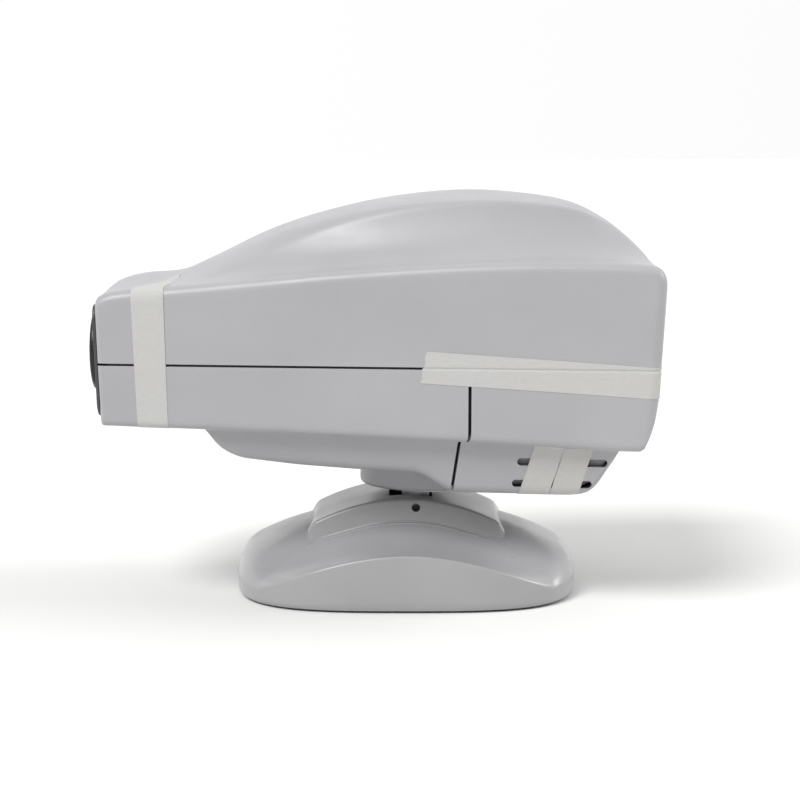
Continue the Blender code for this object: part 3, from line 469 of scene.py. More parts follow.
def textured(mat, kind, scale, stretch=(1, 1, 1), output=0, **settings):
    """A procedural texture in the piece's own coordinates; returns its output socket."""
    nodes, links = mat.node_tree.nodes, mat.node_tree.links
    texture = nodes.new(kind)
    texture.inputs["Scale"].default_value = scale
    for key, value in settings.items():
        if key in texture.inputs:
            texture.inputs[key].default_value = value
        else:
            setattr(texture, key, value)
    where, mapping = nodes.new("ShaderNodeTexCoord"), nodes.new("ShaderNodeMapping")
    mapping.inputs["Scale"].default_value = stretch
    links.new(where.outputs["Object"], mapping.inputs["Vector"])
    links.new(mapping.outputs["Vector"], texture.inputs["Vector"])
    return texture.outputs[output]


def noise(mat, scale, detail=3.0, stretch=(1, 1, 1)):
    """Soft noise; the scale is in cells a metre."""
    return textured(mat, "ShaderNodeTexNoise", scale, stretch, 0, Detail=detail, Roughness=0.55)


def spread(mat, source, low, high, to_low=0.0, to_high=1.0):
    """Map a socket's range to another, clamped; it serves a world as well as a material."""
    node = mat.node_tree.nodes.new("ShaderNodeMapRange")
    for key, value in (("From Min", low), ("From Max", high), ("To Min", to_low), ("To Max", to_high)):
        node.inputs[key].default_value = value
    mat.node_tree.links.new(source, node.inputs["Value"])
    return node.outputs["Result"]


def reckon(mat, operation, a, b):
    """A Math node's result for two values, each a number or a socket."""
    node = mat.node_tree.nodes.new("ShaderNodeMath")
    node.operation = operation
    for socket, value in zip(node.inputs, (a, b)):
        if isinstance(value, (int, float)):
            socket.default_value = value
        else:
            mat.node_tree.links.new(value, socket)
    return node.outputs[0]


def blended(mat, share, a, b):
    """A colour between two others; each is a colour or a socket."""
    node = mat.node_tree.nodes.new("ShaderNodeMix")
    node.data_type = "RGBA"
    mat.node_tree.links.new(share, node.inputs["Factor"])
    for index, value in ((6, a), (7, b)):
        if isinstance(value, tuple):
            node.inputs[index].default_value = (*value, 1.0)
        else:
            mat.node_tree.links.new(value, node.inputs[index])
    return node.outputs[2]


def scaled(color, factor):
    """A colour made lighter or darker."""
    return tuple(min(c * factor, 1.0) for c in color)


def finish_material(mat, color=None, roughness=None, relief=()):
    """Connect colour, roughness and a chain of bumps, each (height, depth in metres)."""
    links, nodes = mat.node_tree.links, mat.node_tree.nodes
    shader = nodes["Principled BSDF"]
    if color is not None:
        links.new(color, shader.inputs["Base Color"])
    if roughness is not None:
        links.new(roughness, shader.inputs["Roughness"])
    normal = None
    for height, depth in relief:
        bump = nodes.new("ShaderNodeBump")
        bump.inputs["Distance"].default_value = depth
        links.new(height, bump.inputs["Height"])
        if normal is not None:
            links.new(normal, bump.inputs["Normal"])
        normal = bump.outputs["Normal"]
    if normal is not None:
        links.new(normal, shader.inputs["Normal"])
    return mat


def worn_edges(mat, high=0.60):
    """Near 1 on outside corners, where handling polishes a surface."""
    geometry = mat.node_tree.nodes.new("ShaderNodeNewGeometry")
    return spread(mat, geometry.outputs["Pointiness"], 0.53, high)


def moulded(name, color, roughness, grain=0.00002, **fixed):
    """Satin moulded plastic: fine spark grain, slow flow marks, faint rubs and polished corners."""
    mat = principled(name, color, roughness, **fixed)
    edge = worn_edges(mat)
    flow = spread(mat, noise(mat, 14, 4), 0.3, 0.7)
    tone = blended(mat, flow, scaled(color, 0.955), scaled(color, 1.03))
    tone = blended(mat, reckon(mat, "MULTIPLY", edge, 0.35), tone, scaled(color, 1.12))
    rub = spread(mat, noise(mat, 26, 3, (1, 1, 5)), 0.45, 0.85, 0.0, 0.08)
    rough = spread(mat, noise(mat, 45, 3), 0.2, 0.8, roughness - 0.04, roughness + 0.05)
    rough = reckon(mat, "ADD", rough, rub)
    rough = reckon(mat, "SUBTRACT", rough, reckon(mat, "MULTIPLY", edge, 0.07))
    relief = ((noise(mat, 2600, 2), grain), (noise(mat, 700, 3), grain), (noise(mat, 11, 2), 0.00025))
    return finish_material(mat, tone, rough, relief)


def masking_tape(name, color):
    """Crepe paper tape: fine creases across the strip with painted shade in their hollows, fibres and a dull
    face.
    """
    mat = principled(name, color, 0.82)
    creases = textured(mat, "ShaderNodeTexNoise", 900, (0.25, 0.25, 1.6), Detail=5.0, Roughness=0.6)
    fibres = noise(mat, 420, 6, (2.5, 2.5, 0.6))
    yellowed = (color[0] * 0.97, color[1] * 0.95, color[2] * 0.9)
    # Painted shade: the creases' hollows are coloured darker
    tone = blended(mat, spread(mat, creases, 0.35, 0.65), scaled(color, 0.93), color)
    tone = blended(mat, spread(mat, noise(mat, 30, 3), 0.4, 0.7, 0.0, 0.5), tone, yellowed)
    relief = ((creases, 0.00009), (fibres, 0.00004), (noise(mat, 60, 2), 0.0003))
    return finish_material(mat, tone, spread(mat, fibres, 0.3, 0.7, 0.74, 0.9), relief)


def metal(name, color, roughness, stretch, lines=260):
    """Metal with fine directional tool marks, tarnish and brighter corners."""
    mat = principled(name, color, roughness, Metallic=1.0)
    marks = noise(mat, lines, 6, stretch)
    stain = noise(mat, 35, 4)
    tone = blended(mat, spread(mat, stain, 0.35, 0.7), color, scaled(color, 0.8))
    tone = blended(mat, worn_edges(mat), tone, scaled(color, 1.25))
    rough = spread(mat, marks, 0.3, 0.7, roughness - 0.08, roughness + 0.1)
    rough = reckon(mat, "ADD", rough, spread(mat, stain, 0.5, 0.8, 0.0, 0.1))
    return finish_material(mat, tone, rough, ((marks, 0.00002),))


def dark_plastic(name, color, roughness, grain=0.00005):
    """Black moulded or foamed parts with a leathery spark texture."""
    mat = principled(name, color, roughness)
    cells = textured(mat, "ShaderNodeTexVoronoi", 1300)
    tone = blended(mat, spread(mat, noise(mat, 60, 5), 0.35, 0.7), color, scaled(color, 1.7))
    edge = reckon(mat, "MULTIPLY", worn_edges(mat, 0.62), 0.5)
    tone = blended(mat, edge, tone, (0.16, 0.16, 0.165))
    rough = spread(mat, noise(mat, 90, 5), 0.3, 0.7, roughness - 0.08, roughness + 0.08)
    return finish_material(mat, tone, rough, ((cells, grain), (noise(mat, 300, 3), grain)))


def glassy(name, color):
    """Coated optical glass with faint wiping marks."""
    mat = principled(name, color, 0.03, Transmission_Weight=1.0, IOR=1.52, Coat_Weight=0.6,
                     Coat_Roughness=0.02, Coat_Tint=(0.45, 0.55, 0.95, 1.0))
    wipes = spread(mat, noise(mat, 60, 5, (1, 6, 1)), 0.45, 0.8, 0.015, 0.07)
    return finish_material(mat, None, wipes, ((noise(mat, 18, 2), 0.00001),))


def circuit_board(name):
    """Solder mask over copper tracks, with pale pads."""
    mat = principled(name, (0.01, 0.12, 0.05), 0.35, Coat_Weight=0.4, Coat_Roughness=0.15)
    tracks = textured(mat, "ShaderNodeTexBrick", 160, (1, 1, 0.01), 1, offset=0.3)
    tone = blended(mat, spread(mat, tracks, 0.2, 0.8), (0.01, 0.11, 0.045), (0.02, 0.22, 0.09))
    tone = blended(mat, spread(mat, noise(mat, 420, 2), 0.68, 0.72), tone, (0.55, 0.5, 0.36))
    rough = spread(mat, noise(mat, 80, 4), 0.3, 0.7, 0.3, 0.45)
    return finish_material(mat, tone, rough, ((tracks, 0.00003),))


def ceramic(name):
    """Unglazed lamp-holder ceramic, slightly stained."""
    clean, stained = (0.8, 0.78, 0.71), (0.62, 0.58, 0.5)
    mat = principled(name, clean, 0.6)
    tone = blended(mat, spread(mat, noise(mat, 300, 4), 0.4, 0.75), clean, stained)
    rough = spread(mat, noise(mat, 150, 4), 0.3, 0.7, 0.5, 0.72)
    return finish_material(mat, tone, rough, ((noise(mat, 900, 4), 0.00008),))


MATERIALS = {
    "housing_grey": moulded("housing_plastic", (0.360, 0.356, 0.370), 0.34, Specular_IOR_Level=0.4),
    "pedestal_grey": moulded("pedestal_plastic", (0.325, 0.322, 0.330), 0.30, 0.000012,
                             Specular_IOR_Level=0.55, Coat_Weight=0.25, Coat_Roughness=0.16),
    "black_plastic": dark_plastic("black_plastic", (0.022, 0.022, 0.024), 0.42),
    "black_metal": dark_plastic("black_motor_can", (0.03, 0.03, 0.033), 0.35, 0.00002),
    "anodised_black": metal("black_anodised", (0.045, 0.045, 0.05), 0.34, (14, 1, 1), 300),
    "coated_glass": glassy("coated_glass", (0.86, 0.92, 0.98)),
    "steel": metal("zinc_plated_steel", (0.56, 0.56, 0.58), 0.34, (1, 9, 1)),
    "aluminium": metal("machined_aluminium", (0.74, 0.74, 0.76), 0.36, (9, 1, 1)),
    "brass": metal("turned_brass", (0.72, 0.53, 0.24), 0.3, (1, 1, 12)),
    "rubber": dark_plastic("foot_rubber", (0.02, 0.02, 0.02), 0.8, 0.00012),
    "circuit_board": circuit_board("circuit_board"),
    "ceramic": ceramic("lamp_ceramic"),
}
# Near black: strips of it paint the shade in the parting gaps
GAP_SHADE = dark_plastic("painted_gap_shade", (0.012, 0.012, 0.013), 0.9, 0.0001)
TAPE = masking_tape("crepe_tape", (0.485, 0.483, 0.474))
SLOT_OF_MATERIAL = {mat.name: slot for slot, mat in MATERIALS.items()}
SLOT_OF_MATERIAL["painted_gap_shade"] = "rubber"

for row in frame["record"]["subparts"]:
    node = frame["nodes"][row["node"]]
    node.data.materials.clear()
    node.data.materials.append(MATERIALS[row["material_slot"]])


# ---------------- head shells

def head_skin(name, stations, half_of, low, high, close_front, close_back, cad_name):
    """One of the head's moulded shells, a wall thick and closed by a wall where it has an end."""
    outer = sections(stations, half_of, 0.0, low, high)
    inner = sections(stations, half_of, WALL, low, high, WALL * close_front, WALL * close_back)
    return shell(name, outer, inner, close_front, close_back, MATERIALS["housing_grey"], "head", (cad_name,))


def make_shells():
    """The upper shell, the front lower shell and the rear cover, with their openings cut."""
    nose_end, tail_start = NOSE_X + NOSE_ROUND, TAIL_X - TAIL_ROUND
    nose = [NOSE_X + NOSE_ROUND * (1 - math.cos(math.radians(90 * k / 5))) for k in range(5)]
    tail = [tail_start + TAIL_ROUND * math.sin(math.radians(90 * k / 9)) for k in range(1, 10)]
    front_end, back_start = PARTING_X - PARTING_GAP / 2, PARTING_X + PARTING_GAP / 2
    upper = head_skin("upper_shell_skin", nose + list(np.linspace(nose_end, tail_start, 100)) + tail,
                      upper_half, NOSE_X, TAIL_X, True, True, "upper_shell")
    front = head_skin("front_lower_skin", nose + list(np.linspace(nose_end, front_end, 76)),
                      lower_half, NOSE_X, front_end, True, False, "front_lower_shell")
    back = head_skin("rear_cover_skin", list(np.linspace(back_start, tail_start, 50)) + tail,
                     lower_half, back_start, TAIL_X, False, True, "rear_cover")
    lens = circle(LENS_HOLE, (0, AXIS_Z))
    half_y, low, high = PANEL_HALF_Y + PANEL_PLAY, PANEL_LOW - PANEL_PLAY, PANEL_HIGH + PANEL_PLAY
    panel = [(-half_y, low), (half_y, low), (half_y, high), (-half_y, high)]
    carve(upper, prism("lens_cut", lens, "X", NOSE_X - 9, NOSE_X + 9),
          prism("panel_cut", panel, "X", TAIL_X - 16, TAIL_X + 9))
    carve(front, prism("lens_cut_low", lens, "X", NOSE_X - 9, NOSE_X + 9),
          prism("stud_cut", circle(STUD_HOLE, (PAN_X, 0)), "Z", 60, 98))
    for low_x, high_x, z in VENTS:
        middle = ((low_x + high_x) / 2, z)
        outline = rounded((high_x - low_x) / 2, VENT_HALF_Z, VENT_HALF_Z - 0.01, middle)
        carve(back, prism("vent_cut", outline, "Y", -130, 130))
    for obj in (upper, front, back):
        level_faces(obj)


def plan_outline(inset):
    """The head's plan outline, from the nose along -Y, round the tail and back along +Y."""
    side = [(x, -(half_width(x) - inset)) for x in np.linspace(NOSE_X + 6, TAIL_X - TAIL_ROUND, 40)]
    radius = max(TAIL_ROUND - inset, 1.0)
    corner = []
    for a in np.radians(np.linspace(8, 90, 12)):
        x = TAIL_X - TAIL_ROUND + radius * math.sin(a)
        corner.append((x, -(half_width(x) - TAIL_ROUND + radius * math.cos(a))))
    path = side + corner
    return path + [(x, -y) for x, y in reversed(path)]


def lining(name, stations, gap, thickness, mat):
    """A layer inside the lower shells, a small gap away from their wall."""
    low, high = stations[0], stations[-1]
    shell(name, sections(stations, lower_half, WALL + gap, low, high),
          sections(stations, lower_half, WALL + gap + thickness, low, high), False, False, mat, "head")


def make_gap_shade_strips():
    """Black strips behind the parting lines, that paint the shade in each gap."""
    near, far = WALL + SHADE_STRIP_GAP, WALL + SHADE_STRIP_GAP + SHADE_STRIP_THICK
    low, high = SEAM_Z - SHADE_STRIP_REACH, SEAM_Z + SHADE_STRIP_REACH
    band = np.array([[(x + lean(x, z), y, z) for x, y in plan_outline(inset)]
                     for z, inset in ((low, near), (high, near), (high, far), (low, far))])
    rows, columns = band.shape[:2]
    faces = loft_faces(rows, columns, 0, True)
    faces += [tuple(i * columns + j for i in range(rows)) for j in (0, columns - 1)]
    # Painted shade: a black band behind the seam's gap
    piece("seam_shade_strip", band.reshape(-1, 3), faces, GAP_SHADE, "head")
    # Painted shade: a black lining behind the parting gap
    along = np.linspace(PARTING_X - SHADE_STRIP_REACH, PARTING_X + SHADE_STRIP_REACH, 11)
    lining("parting_shade_strip", along, SHADE_STRIP_GAP, SHADE_STRIP_THICK, GAP_SHADE)


def make_vent_duct():
    """A moulded duct wall a little way behind the vent slots."""
    along = np.linspace(DUCT_LOW_X, DUCT_HIGH_X, 36)
    lining("vent_baffle", along, DUCT_GAP, DUCT_THICK, MATERIALS["housing_grey"])


# ---------------- masking tape

def tape_sheet(name, surface):
    """A thin strip from a grid of surface points, thickened along its own normals."""
    rows, columns = surface.shape[:2]
    normal = np.cross(np.gradient(surface, axis=0), np.gradient(surface, axis=1))
    normal /= np.linalg.norm(normal, axis=2, keepdims=True)
    head_middle = np.array((0.0, 0.0, SEAM_Z))
    if ((surface - head_middle) * normal).sum(axis=2).mean() < 0:
        normal = -normal
    low, high = surface + normal * (TAPE_LIFT - TAPE_THICK), surface + normal * TAPE_LIFT
    shift = rows * columns
    faces = layer_faces(rows, columns)
    rim = ([(0, j) for j in range(columns)] + [(i, columns - 1) for i in range(1, rows)]
           + [(rows - 1, j) for j in range(columns - 2, -1, -1)] + [(i, 0) for i in range(rows - 2, 0, -1)])
    for (i, j), (n, m) in zip(rim, rim[1:] + rim[:1]):
        a, b = i * columns + j, n * columns + m
        faces.append((a, b, shift + b, shift + a))
    piece(name, np.concatenate([low.reshape(-1, 3), high.reshape(-1, 3)]), faces, TAPE, "head", sharp=60)


def ripple(u, v, seed, size):
    """A small smooth unevenness, the same on every run."""
    return size * (math.sin(1.7 * u + 2.3 * v + seed) + 0.6 * math.sin(0.9 * u - 3.1 * v + 2.1 * seed)
                   + 0.4 * math.sin(4.3 * u + 0.7 * v + 3.7 * seed)) / 2


def make_front_tape():
    """A strip that wraps the near side wall near the nose, torn at a slant on top."""
    columns, rows = 15, 120
    grid = np.zeros((rows, columns, 3))
    for j, share in enumerate(np.linspace(0, 1, columns)):
        x = FRONT_TAPE_X + TAPE_WIDTH * share
        low, high = lower_half(x)[:, :2], upper_half(x)[:, :2]
        # From just under the wall's foot, up the near side and over towards the crest
        near_foot = low[:, 1] < wall_foot(x) + 30
        line = np.concatenate([low[near_foot][:18][::-1], low[~near_foot][::-1], high]) * (-1, 1)
        run = run_along(line)
        begin = run[np.argmax(line[:, 1] > wall_foot(x) + 0.05)] - 9.0
        corner = run[np.argmax(line[:, 1] > ledge_z(x) - 1.0)]
        end = corner + 12.0 + 34.0 * share + 1.5 * math.sin(9.0 * share)
        at = np.linspace(max(begin, 0.0), end, rows)
        ys, zs = np.interp(at, run, line[:, 0]), np.interp(at, run, line[:, 1])
        for i in range(rows):
            lifted = 0.42 * max(at[i] - end + 7.0, 0.0) * max(share - 0.55, 0.0)
            slant_x = x + 0.0225 * (SEAM_Z - zs[i]) + 0.12 * max(at[i] - corner, 0.0)
            grid[i, j] = (slant_x + lean(slant_x, zs[i]), ys[i], zs[i] + lifted)
    tape_sheet("tape_front", grid)


def make_side_tape():
    """A strip along the rear half of the seam, pressed into it, and round the tail's corner."""
    columns, rows = 61, 150
    path = np.array(plan_outline(0.0))
    run = run_along(path)
    near_side = len(path) // 2
    begin = np.interp(SIDE_TAPE_X, path[:near_side, 0], run[:near_side])
    end = run[near_side - 1] + SIDE_TAPE_WRAP
    grid = np.zeros((rows, columns, 3))
    for i, share in enumerate(np.linspace(0, 1, rows)):
        for j, up in enumerate(np.linspace(-0.5, 0.5, columns)):
            torn = (4.3 * up + 0.5 * math.sin(14 * up)) * (1 - share)
            s = begin + share * (end - begin) + torn
            fall = SIDE_TAPE_FALL * (s - begin) / SIDE_TAPE_RUN
            z = SIDE_TAPE_Z - fall + TAPE_WIDTH * up * (1 - 0.05 * share)
            x, y = np.interp(s, run, path[:, 0]), np.interp(s, run, path[:, 1])
            draft = UPPER_DRAFT * max(z - SEAM_Z, 0) / 60 + LOWER_DRAFT * max(SEAM_Z - z, 0) / 40
            sink = 0.6 * math.exp(-((z - SEAM_Z) / 0.7)**2)
            outward = ripple(s / 9.0, up * 3, 0.7, 0.05) - sink
            turned_in = ramp(x, TAIL_X - TAIL_ROUND, TAIL_ROUND)
            facing_side = math.sqrt(1.0 - turned_in**2)
            grid[i, j] = (x + lean(x, z) + outward * turned_in, y - outward * facing_side + draft, z)
    tape_sheet("tape_side", grid)


def make_vent_tape(name, top_x, bottom_x, width, top_z, seed):
    """A strip over the vent slots, from under the side wall down and round the lower edge."""
    columns, rows = 13, 70
    grid = np.zeros((rows, columns, 3))
    for j, share in enumerate(np.linspace(0, 1, columns)):
        x = (top_x + bottom_x) / 2 + width * share
        half = lower_half(x)[:, :2]
        flank = half[np.argmax(half[:, 1] < wall_foot(x) - 0.31):]
        run = run_along(flank)
        begin = run[np.argmax(flank[:, 1] < top_z)]
        at = np.linspace(begin, begin + VENT_TAPE_LENGTH, rows)
        ys, zs = np.interp(at, run, flank[:, 0]), np.interp(at, run, flank[:, 1])
        for i in range(rows):
            share_up = (zs[i] - VENT_TAPE_FOOT) / (top_z - VENT_TAPE_FOOT)
            slant_x = x + (top_x - bottom_x) * (share_up - 0.5)
            outward = half_width(slant_x) - half_width(x) + ripple(at[i] / 4.0, share * 5, seed, 0.10)
            grid[i, j] = (slant_x, -(ys[i] + outward), zs[i])
    tape_sheet(name, grid)


# ---------------- swivel drum and pedestal

def make_drum():
    """The drum under the head; its top follows the belly."""
    segments = 144
    underside, wall = [(DRUM_BORE, 0.0), (DRUM_RADIUS, 0.0)], [(DRUM_RADIUS, 0.0), (DRUM_RADIUS, DRUM_WALL)]
    profile = softened([underside, wall], [DRUM_EDGE], [8, 4], 8)
    points = []
    for k in range(segments):
        angle = 2 * math.pi * k / segments
        c, s = math.cos(angle), math.sin(angle)
        top = belly_line(PAN_X + DRUM_RADIUS * c) + 1.0
        bore_top = belly_line(PAN_X + DRUM_BORE * c) + 1.0
        for r, h in profile:
            points.append((PAN_X + r * c, r * s, DRUM_BOTTOM + min(h, top - DRUM_BOTTOM - 0.5)))
        points.append((PAN_X + DRUM_RADIUS * c, DRUM_RADIUS * s, top))
        points.append((PAN_X + DRUM_BORE * c, DRUM_BORE * s, bore_top))
    faces = loft_faces(segments, len(profile) + 2, 0, True, True)
    piece("swivel_drum_skin", points, faces, MATERIALS["housing_grey"], "head", ("swivel_drum",))


def dome_height(x, y):
    """Height of the pedestal's dome at a place in plan, without its flanks."""
    share = ((abs(x) / BASE_HALF_X)**BASE_POWER + (abs(y) / BASE_HALF_Y)**BASE_POWER)**(1 / BASE_POWER)
    share = min(max(share, 1e-6), 1.0)
    rim_x = x / share
    edge = max(CREASE_Z - CREASE_DROP * (rim_x / CREASE_SPAN)**2, CREASE_LOW)
    toward_end = min(abs(rim_x / BASE_HALF_X), 1.0)**4
    end_rise = math.sqrt(max(1.0 - share**(1.85 + 2.2 * share**14), 0.0))
    side_rise = (1.0 + math.cos(math.pi * share**1.3)) / 2
    return edge + (DOME_Z - edge) * (toward_end * end_rise + (1.0 - toward_end) * side_rise)


def plan_point(angle):
    """A point on the pedestal's plan outline, a rounded oblong."""
    c, s = math.cos(angle), math.sin(angle)
    power = 2.0 / BASE_POWER
    return BASE_HALF_X * math.copysign(abs(c)**power, c), BASE_HALF_Y * math.copysign(abs(s)**power, s)


def make_pedestal():
    """Domed shell with soft creases between its flanks and its top."""
    steps = 288
    turn = [2 * math.pi * (k + 0.5) / steps for k in range(steps)]
    plan = np.array([plan_point(a) for a in turn])
    run = np.cumsum(np.linalg.norm(plan - np.roll(plan, 1, axis=0), axis=1))
    even = np.interp(np.linspace(0, run[-1], steps, endpoint=False), run, np.unwrap(turn))
    rows = []
    for angle in even:
        x, y = plan_point(angle)
        reach = math.hypot(x, y)
        edge = dome_height(x * 0.995, y * 0.995)
        flank = [(0.982, BASE_BOTTOM), (0.994, BASE_BOTTOM + 1.6), (0.998, edge)]
        top = [(0.998, edge)] + [(s, dome_height(x * s, y * s)) for s in np.linspace(0.99, 0.40, 70)]
        lines = [[(s * reach, z) for s, z in stretch] for stretch in (flank, top)]
        line = softened(lines, [1.8], [10, 60], 8)
        inner = [(max(r - WALL, 1.0), max(z - WALL, BASE_BOTTOM)) for r, z in reversed(line[1:])]
        rows.append([(x / reach * r, y / reach * r, z) for r, z in list(line) + inner])
    grid = np.array(rows)
    base = piece("pedestal_skin", grid.reshape(-1, 3), loft_faces(steps, grid.shape[1], 0, True, True),
                 MATERIALS["pedestal_grey"], "pedestal", ("base_housing",), weld=0.01)
    level_faces(base)


def saddle_half(x, inset):
    """Half of the saddle's cross-section, from its foot on the dome up to the middle."""
    past = max(abs(x) - SADDLE_HALF_X, 0.0) / SADDLE_FLARE_X
    top = SADDLE_TOP - SADDLE_DROP * (x / SADDLE_HALF_X)**2 - 4.0 * past - inset
    edge, flare = SADDLE_HALF_Y - inset, SADDLE_HALF_Y + SADDLE_FLARE_Y - inset
    foot = min(dome_height(x, flare), top - 3.0)
    splay = 4.0 * (top - foot) / 17.0
    rim, heel, brow = (flare + 1.5, foot + 0.15), (edge + splay, foot + 0.4), (edge, top)
    lines = [[(flare + 1.5, foot - 3.0), rim], [rim, heel], [heel, brow], [brow, (0.0, top)]]
    return softened(lines, [0.2, 1.2, 2.2], [3, 5, 16, 18], 6)


def make_saddle():
    """The arched block that holds the head, with its neck slot and screw hole."""
    full = SADDLE_HALF_X + SADDLE_FLARE_X
    end = SADDLE_HALF_X + 0.5
    at = [-full] + list(np.linspace(-full + 0.8, -end, 4)) + list(np.linspace(-end + 2, end - 2, 56))
    at += list(np.linspace(end, full - 0.8, 4)) + [full]

    def skin(inset):
        squeeze = (full - inset) / full
        made = []
        for x in at:
            half = saddle_half(x, inset)
            made.append(mirrored(np.full(len(half), x * squeeze), half))
        return np.array(made)

    saddle = shell("saddle_skin", skin(0.0), skin(WALL), True, True, MATERIALS["pedestal_grey"], "pedestal",
                   ("base_saddle",))
    ahead, behind, half_y = TILT_X - NECK_SLOT_AHEAD, TILT_X + NECK_SLOT_BEHIND, NECK_SLOT_HALF_Y
    slot = [(ahead, -half_y), (behind, -half_y), (behind, half_y), (ahead, half_y)]
    carve(saddle, prism("neck_cut", slot, "Z", 20, 80),
          prism("screw_cut", circle(TILT_SCREW_HOLE, (TILT_X, TILT_Z), 32), "Y", -60, -30))
    level_faces(saddle)


# ---------------- nose and rear details

def focus_rib(row, angle):
    """How much the ribs change the focus ring's radius; they lie on rows 5 and 6 of its profile."""
    return -0.35 if row in (5, 6) and math.cos(72 * angle) > 0.3 else 0.0


def make_nose():
    """Bevelled front plate with a raised lens bezel, and the ribbed focus ring."""
    plate_x = NOSE_X - 0.3
    outline = rounded(PLATE_HALF_Y, PLATE_HALF_Z, PLATE_CORNER, (0, PLATE_Z), 12)
    bevel = ((0.0, 0.0), (0.0, 1.1), (0.2, 1.5), (0.6, 1.7), (2.6, 1.7), (3.0, 1.4), (3.4, 1.4))
    rows = []
    for inset, out in bevel:
        grow_y, grow_z = (PLATE_HALF_Y - inset) / PLATE_HALF_Y, (PLATE_HALF_Z - inset) / PLATE_HALF_Z
        rows.append([(plate_x - out, y * grow_y, PLATE_Z + (z - PLATE_Z) * grow_z) for y, z in outline])
    points = np.array(rows)
    points[:, :, 0] -= NOSE_LEAN * (points[:, :, 2] - AXIS_Z)
    count = len(outline)
    faces = loft_faces(len(rows), count, 0, False, True)
    faces += [tuple(range(count)), tuple((len(rows) - 1) * count + k for k in range(count))]
    plate = piece("front_plate_skin", points.reshape(-1, 3), faces, MATERIALS["black_plastic"], "head",
                  ("front_plate",), sharp=30)
    through = ("X", plate_x - 8, plate_x + 8)
    carve(plate, prism("plate_lens_cut", circle(PLATE_LENS_HOLE, (0, AXIS_Z), 96), *through),
          prism("plate_window_cut", circle(WINDOW_HOLE, (WINDOW_Y, WINDOW_Z), 48), *through))
    level_faces(plate)
    bezel = ((27.9, -1.0), (27.9, -3.0), (28.4, -3.5), (29.6, -3.5), (30.6, -2.9), (31.2, -2.0), (31.2, -1.0))
    turned("lens_bezel", bezel, "X", (plate_x, 0, AXIS_Z), MATERIALS["anodised_black"], "head", 96)
    ring = ((22.5, 0.0), (24.6, -0.1), (25.9, 0.3), (26.7, 1.3), (27.0, 2.6), (27.0, 3.0), (27.0, 16.0),
            (27.0, 18.4), (22.5, 18.4))
    turned("focus_ring_skin", ring, "X", (FOCUS_RING_X, 0, AXIS_Z), MATERIALS["anodised_black"],
           "focus_ring", 288, ("focus_ring",), focus_rib)


def screw_head(name, centre, radius, axis, body, twist):
    """A low domed cross-slot screw that faces +X or down."""
    out = 1.0 if axis == "X" else -1.0
    profile = ((0.0, 0.9), (radius * 0.5, 0.85), (radius * 0.82, 0.6), (radius, 0.15), (radius, -1.5),
               (0.0, -1.5))
    head = turned(name, [(r, out * h) for r, h in profile], axis, centre, MATERIALS["steel"], body, 32)
    across, up, along = (centre[1], centre[2], centre[0]) if axis == "X" else centre
    low, high = sorted((along + 0.2 * out, along + 3.0 * out))
    reach, half = radius * 0.62, 0.28
    for turn_by in (twist, twist + math.pi / 2):
        c, s = math.cos(turn_by), math.sin(turn_by)
        bar = ((reach, half), (-reach, half), (-reach, -half), (reach, -half))
        outline = [(across + (a * c - b * s), up + (a * s + b * c)) for a, b in bar]
        carve(head, prism("cross_cut", outline, axis, low, high))


def make_screws(name, centres, radius, axis, body, twist):
    """Numbered screws, each turned a little further than the one before."""
    for number, centre in enumerate(centres, 1):
        screw_head(f"{name}_{number}", centre, radius, axis, body, twist * number)


def tail_face(z):
    """X of the rear panel's face at a height."""
    return PANEL_FACE_X + TAIL_LEAN * (z - TAIL_LEAN_TOP)


def make_inlet():
    """The mains inlet's pins, and the raised lip round its socket."""
    for name, across, up in (("left", -6.5, -1.5), ("earth", 0.0, 2.5), ("right", 6.5, -1.5)):
        pin = rounded(1.0, 2.0, 0.5, (INLET_Y + across, INLET_Z + up), 4)
        prism(f"inlet_pin_{name}", pin, "X", 142.5, 153.5, MATERIALS["steel"], "head", TAIL_LEAN)
    rings = []
    for grow, height in ((0.0, -0.4), (0.4, 1.0), (2.0, 1.2), (2.6, 0.4), (2.6, -0.6)):
        outline = rounded(12.4 + grow, 8.4 + grow, 3.0 + grow, (INLET_Y, INLET_Z), 6)
        rings.append([(tail_face(z) + 0.9 + height, y, z) for y, z in outline])
    band = np.array(rings)
    faces = loft_faces(len(rings), band.shape[1], 0, True, True)
    piece("inlet_lip", band.reshape(-1, 3), faces, MATERIALS["black_plastic"], "head")


def make_fuse_cap():
    """The fuse holder's round cap, with a slot for a screwdriver."""
    face = tail_face(FUSE_Z) + 2.2
    profile = ((0.0, 1.6), (3.6, 1.6), (4.6, 1.3), (5.0, 0.5), (5.0, -1.2), (0.0, -1.2))
    fuse = turned("fuse_cap", profile, "X", (face, FUSE_Y, FUSE_Z), MATERIALS["black_plastic"], "head", 40)
    reach, half = 3.5, 0.5
    slot = [(FUSE_Y + a * reach, FUSE_Z + b * half) for a, b in ((-1, -1), (1, -1), (1, 1), (-1, 1))]
    carve(fuse, prism("fuse_cut", slot, "X", face + 0.5, face + 5))


def soften_cad(name, width):
    """Round the edges of a CAD node that shows, without changing its mesh."""
    node = frame["nodes"][name]
    weld = node.modifiers.new("weld", "WELD")
    weld.merge_threshold = 0.00002
    edge = node.modifiers.new("edge", "BEVEL")
    edge.width = width * MM
    edge.segments = 3
    edge.limit_method = "ANGLE"
    edge.angle_limit = math.radians(40)
    edge.harden_normals = True


# ---------------- stage

def make_floor():
    """A plain pale floor that reaches well past the camera."""
    corners = [(FLOOR_HALF * a, FLOOR_HALF * b, 0) for a, b in ((-1, -1), (1, -1), (1, 1), (-1, 1))]
    mesh = bpy.data.meshes.new("floor")
    mesh.from_pydata(corners, [], [(0, 1, 2, 3)])
    paper = principled("floor_paper", (0.745, 0.743, 0.735), 0.9)
    finish_material(paper, None, spread(paper, noise(paper, 8, 3), 0.3, 0.7, 0.85, 0.95))
    mesh.materials.append(paper)
    floor = add_object("floor", mesh)


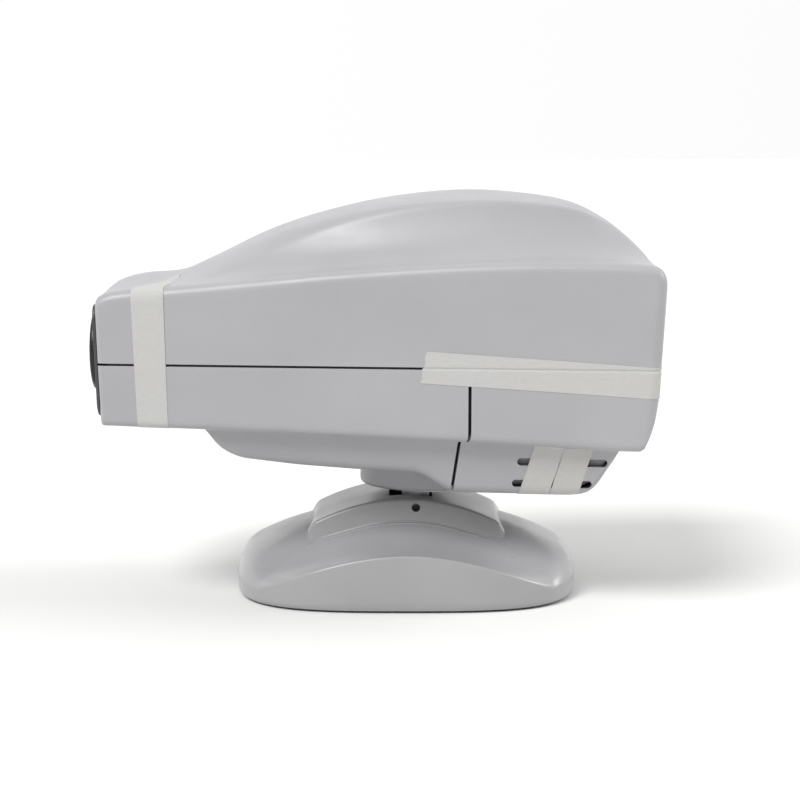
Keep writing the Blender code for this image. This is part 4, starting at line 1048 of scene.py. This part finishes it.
def make_sky():
    """A soft white sky, brighter towards the lens end and brightest behind the far side."""
    world = bpy.data.worlds.new("studio")
    world.use_nodes = True
    nodes, links = world.node_tree.nodes, world.node_tree.links
    where, split = nodes.new("ShaderNodeTexCoord"), nodes.new("ShaderNodeSeparateXYZ")
    links.new(where.outputs["Generated"], split.inputs["Vector"])
    lens_end = spread(world, split.outputs["X"], -1.0, 0.6, 0.18, 0.04)
    far_side = spread(world, split.outputs["Y"], -0.5, 0.8, 0.34, 0.90)
    links.new(reckon(world, "ADD", lens_end, far_side), nodes["Background"].inputs["Strength"])
    nodes["Background"].inputs["Color"].default_value = (1.0, 1.0, 1.0, 1.0)
    bpy.context.scene.world = world


def sun_light(name, toward, strength, spread_deg):
    """A soft distant light; toward points from the object to the light."""
    light = bpy.data.lights.new(name, "SUN")
    light.energy = strength
    light.angle = math.radians(spread_deg)
    add_object(name, light).rotation_euler = (-Vector(toward)).to_track_quat("-Z", "Y").to_euler()


def make_camera():
    """The photograph's viewpoint: square to the near side, above the head and looking a little down."""
    data = bpy.data.cameras.new("camera")
    data.sensor_width = 36.0
    data.lens = CAMERA_LENS
    data.clip_start = 0.05
    data.clip_end = 100.0
    camera = add_object("camera", data)
    camera.location = (CAMERA_X, CAMERA_Y, CAMERA_Z + RISE * MM)
    camera.rotation_euler = (math.radians(90 - CAMERA_PITCH), 0, 0)
    bpy.context.scene.camera = camera
    bpy.context.scene.view_settings.view_transform = "Standard"


# ---------------- the scene

make_shells()
make_gap_shade_strips()
make_vent_duct()
make_front_tape()
make_side_tape()
make_vent_tape("tape_vent_front", 79.6, 70.6, 18.6, 102.4, 0.3)
make_vent_tape("tape_vent_rear", 98.0, 89.9, 17.6, 101.2, 1.9)
make_drum()
make_pedestal()
make_saddle()
make_nose()
make_screws("panel_screw", [(tail_face(z), y, z) for y, z in PANEL_SCREWS], 2.6, "X", "head", 0.4)
make_inlet()
make_fuse_cap()
make_screws("belly_screw", [(x, y, belly_line(x) - 0.1) for x, y in BELLY_SCREWS], 3.2, "Z", "head", 0.5)
make_screws("base_screw", [(x, y, BASE_BOTTOM + 0.6) for x, y in BASE_SCREWS], 2.6, "Z", "pedestal", 0.7)
for edge_width, cad_names in ((0.3, "fuse_holder"),
                              (0.4, "power_inlet switch_frame remote_window fan_frame centre_pad"),
                              (0.5, "power_rocker"),
                              (0.6, "foot_1 foot_2 foot_3 foot_4")):
    for cad_name in cad_names.split():
        soften_cad(cad_name, edge_width)
make_floor()
make_sky()
sun_light("key", (-0.7, -0.9, 1.25), 2.6, 28)
sun_light("rim", (1.0, 0.1, 0.6), 1.4, 30)
make_camera()
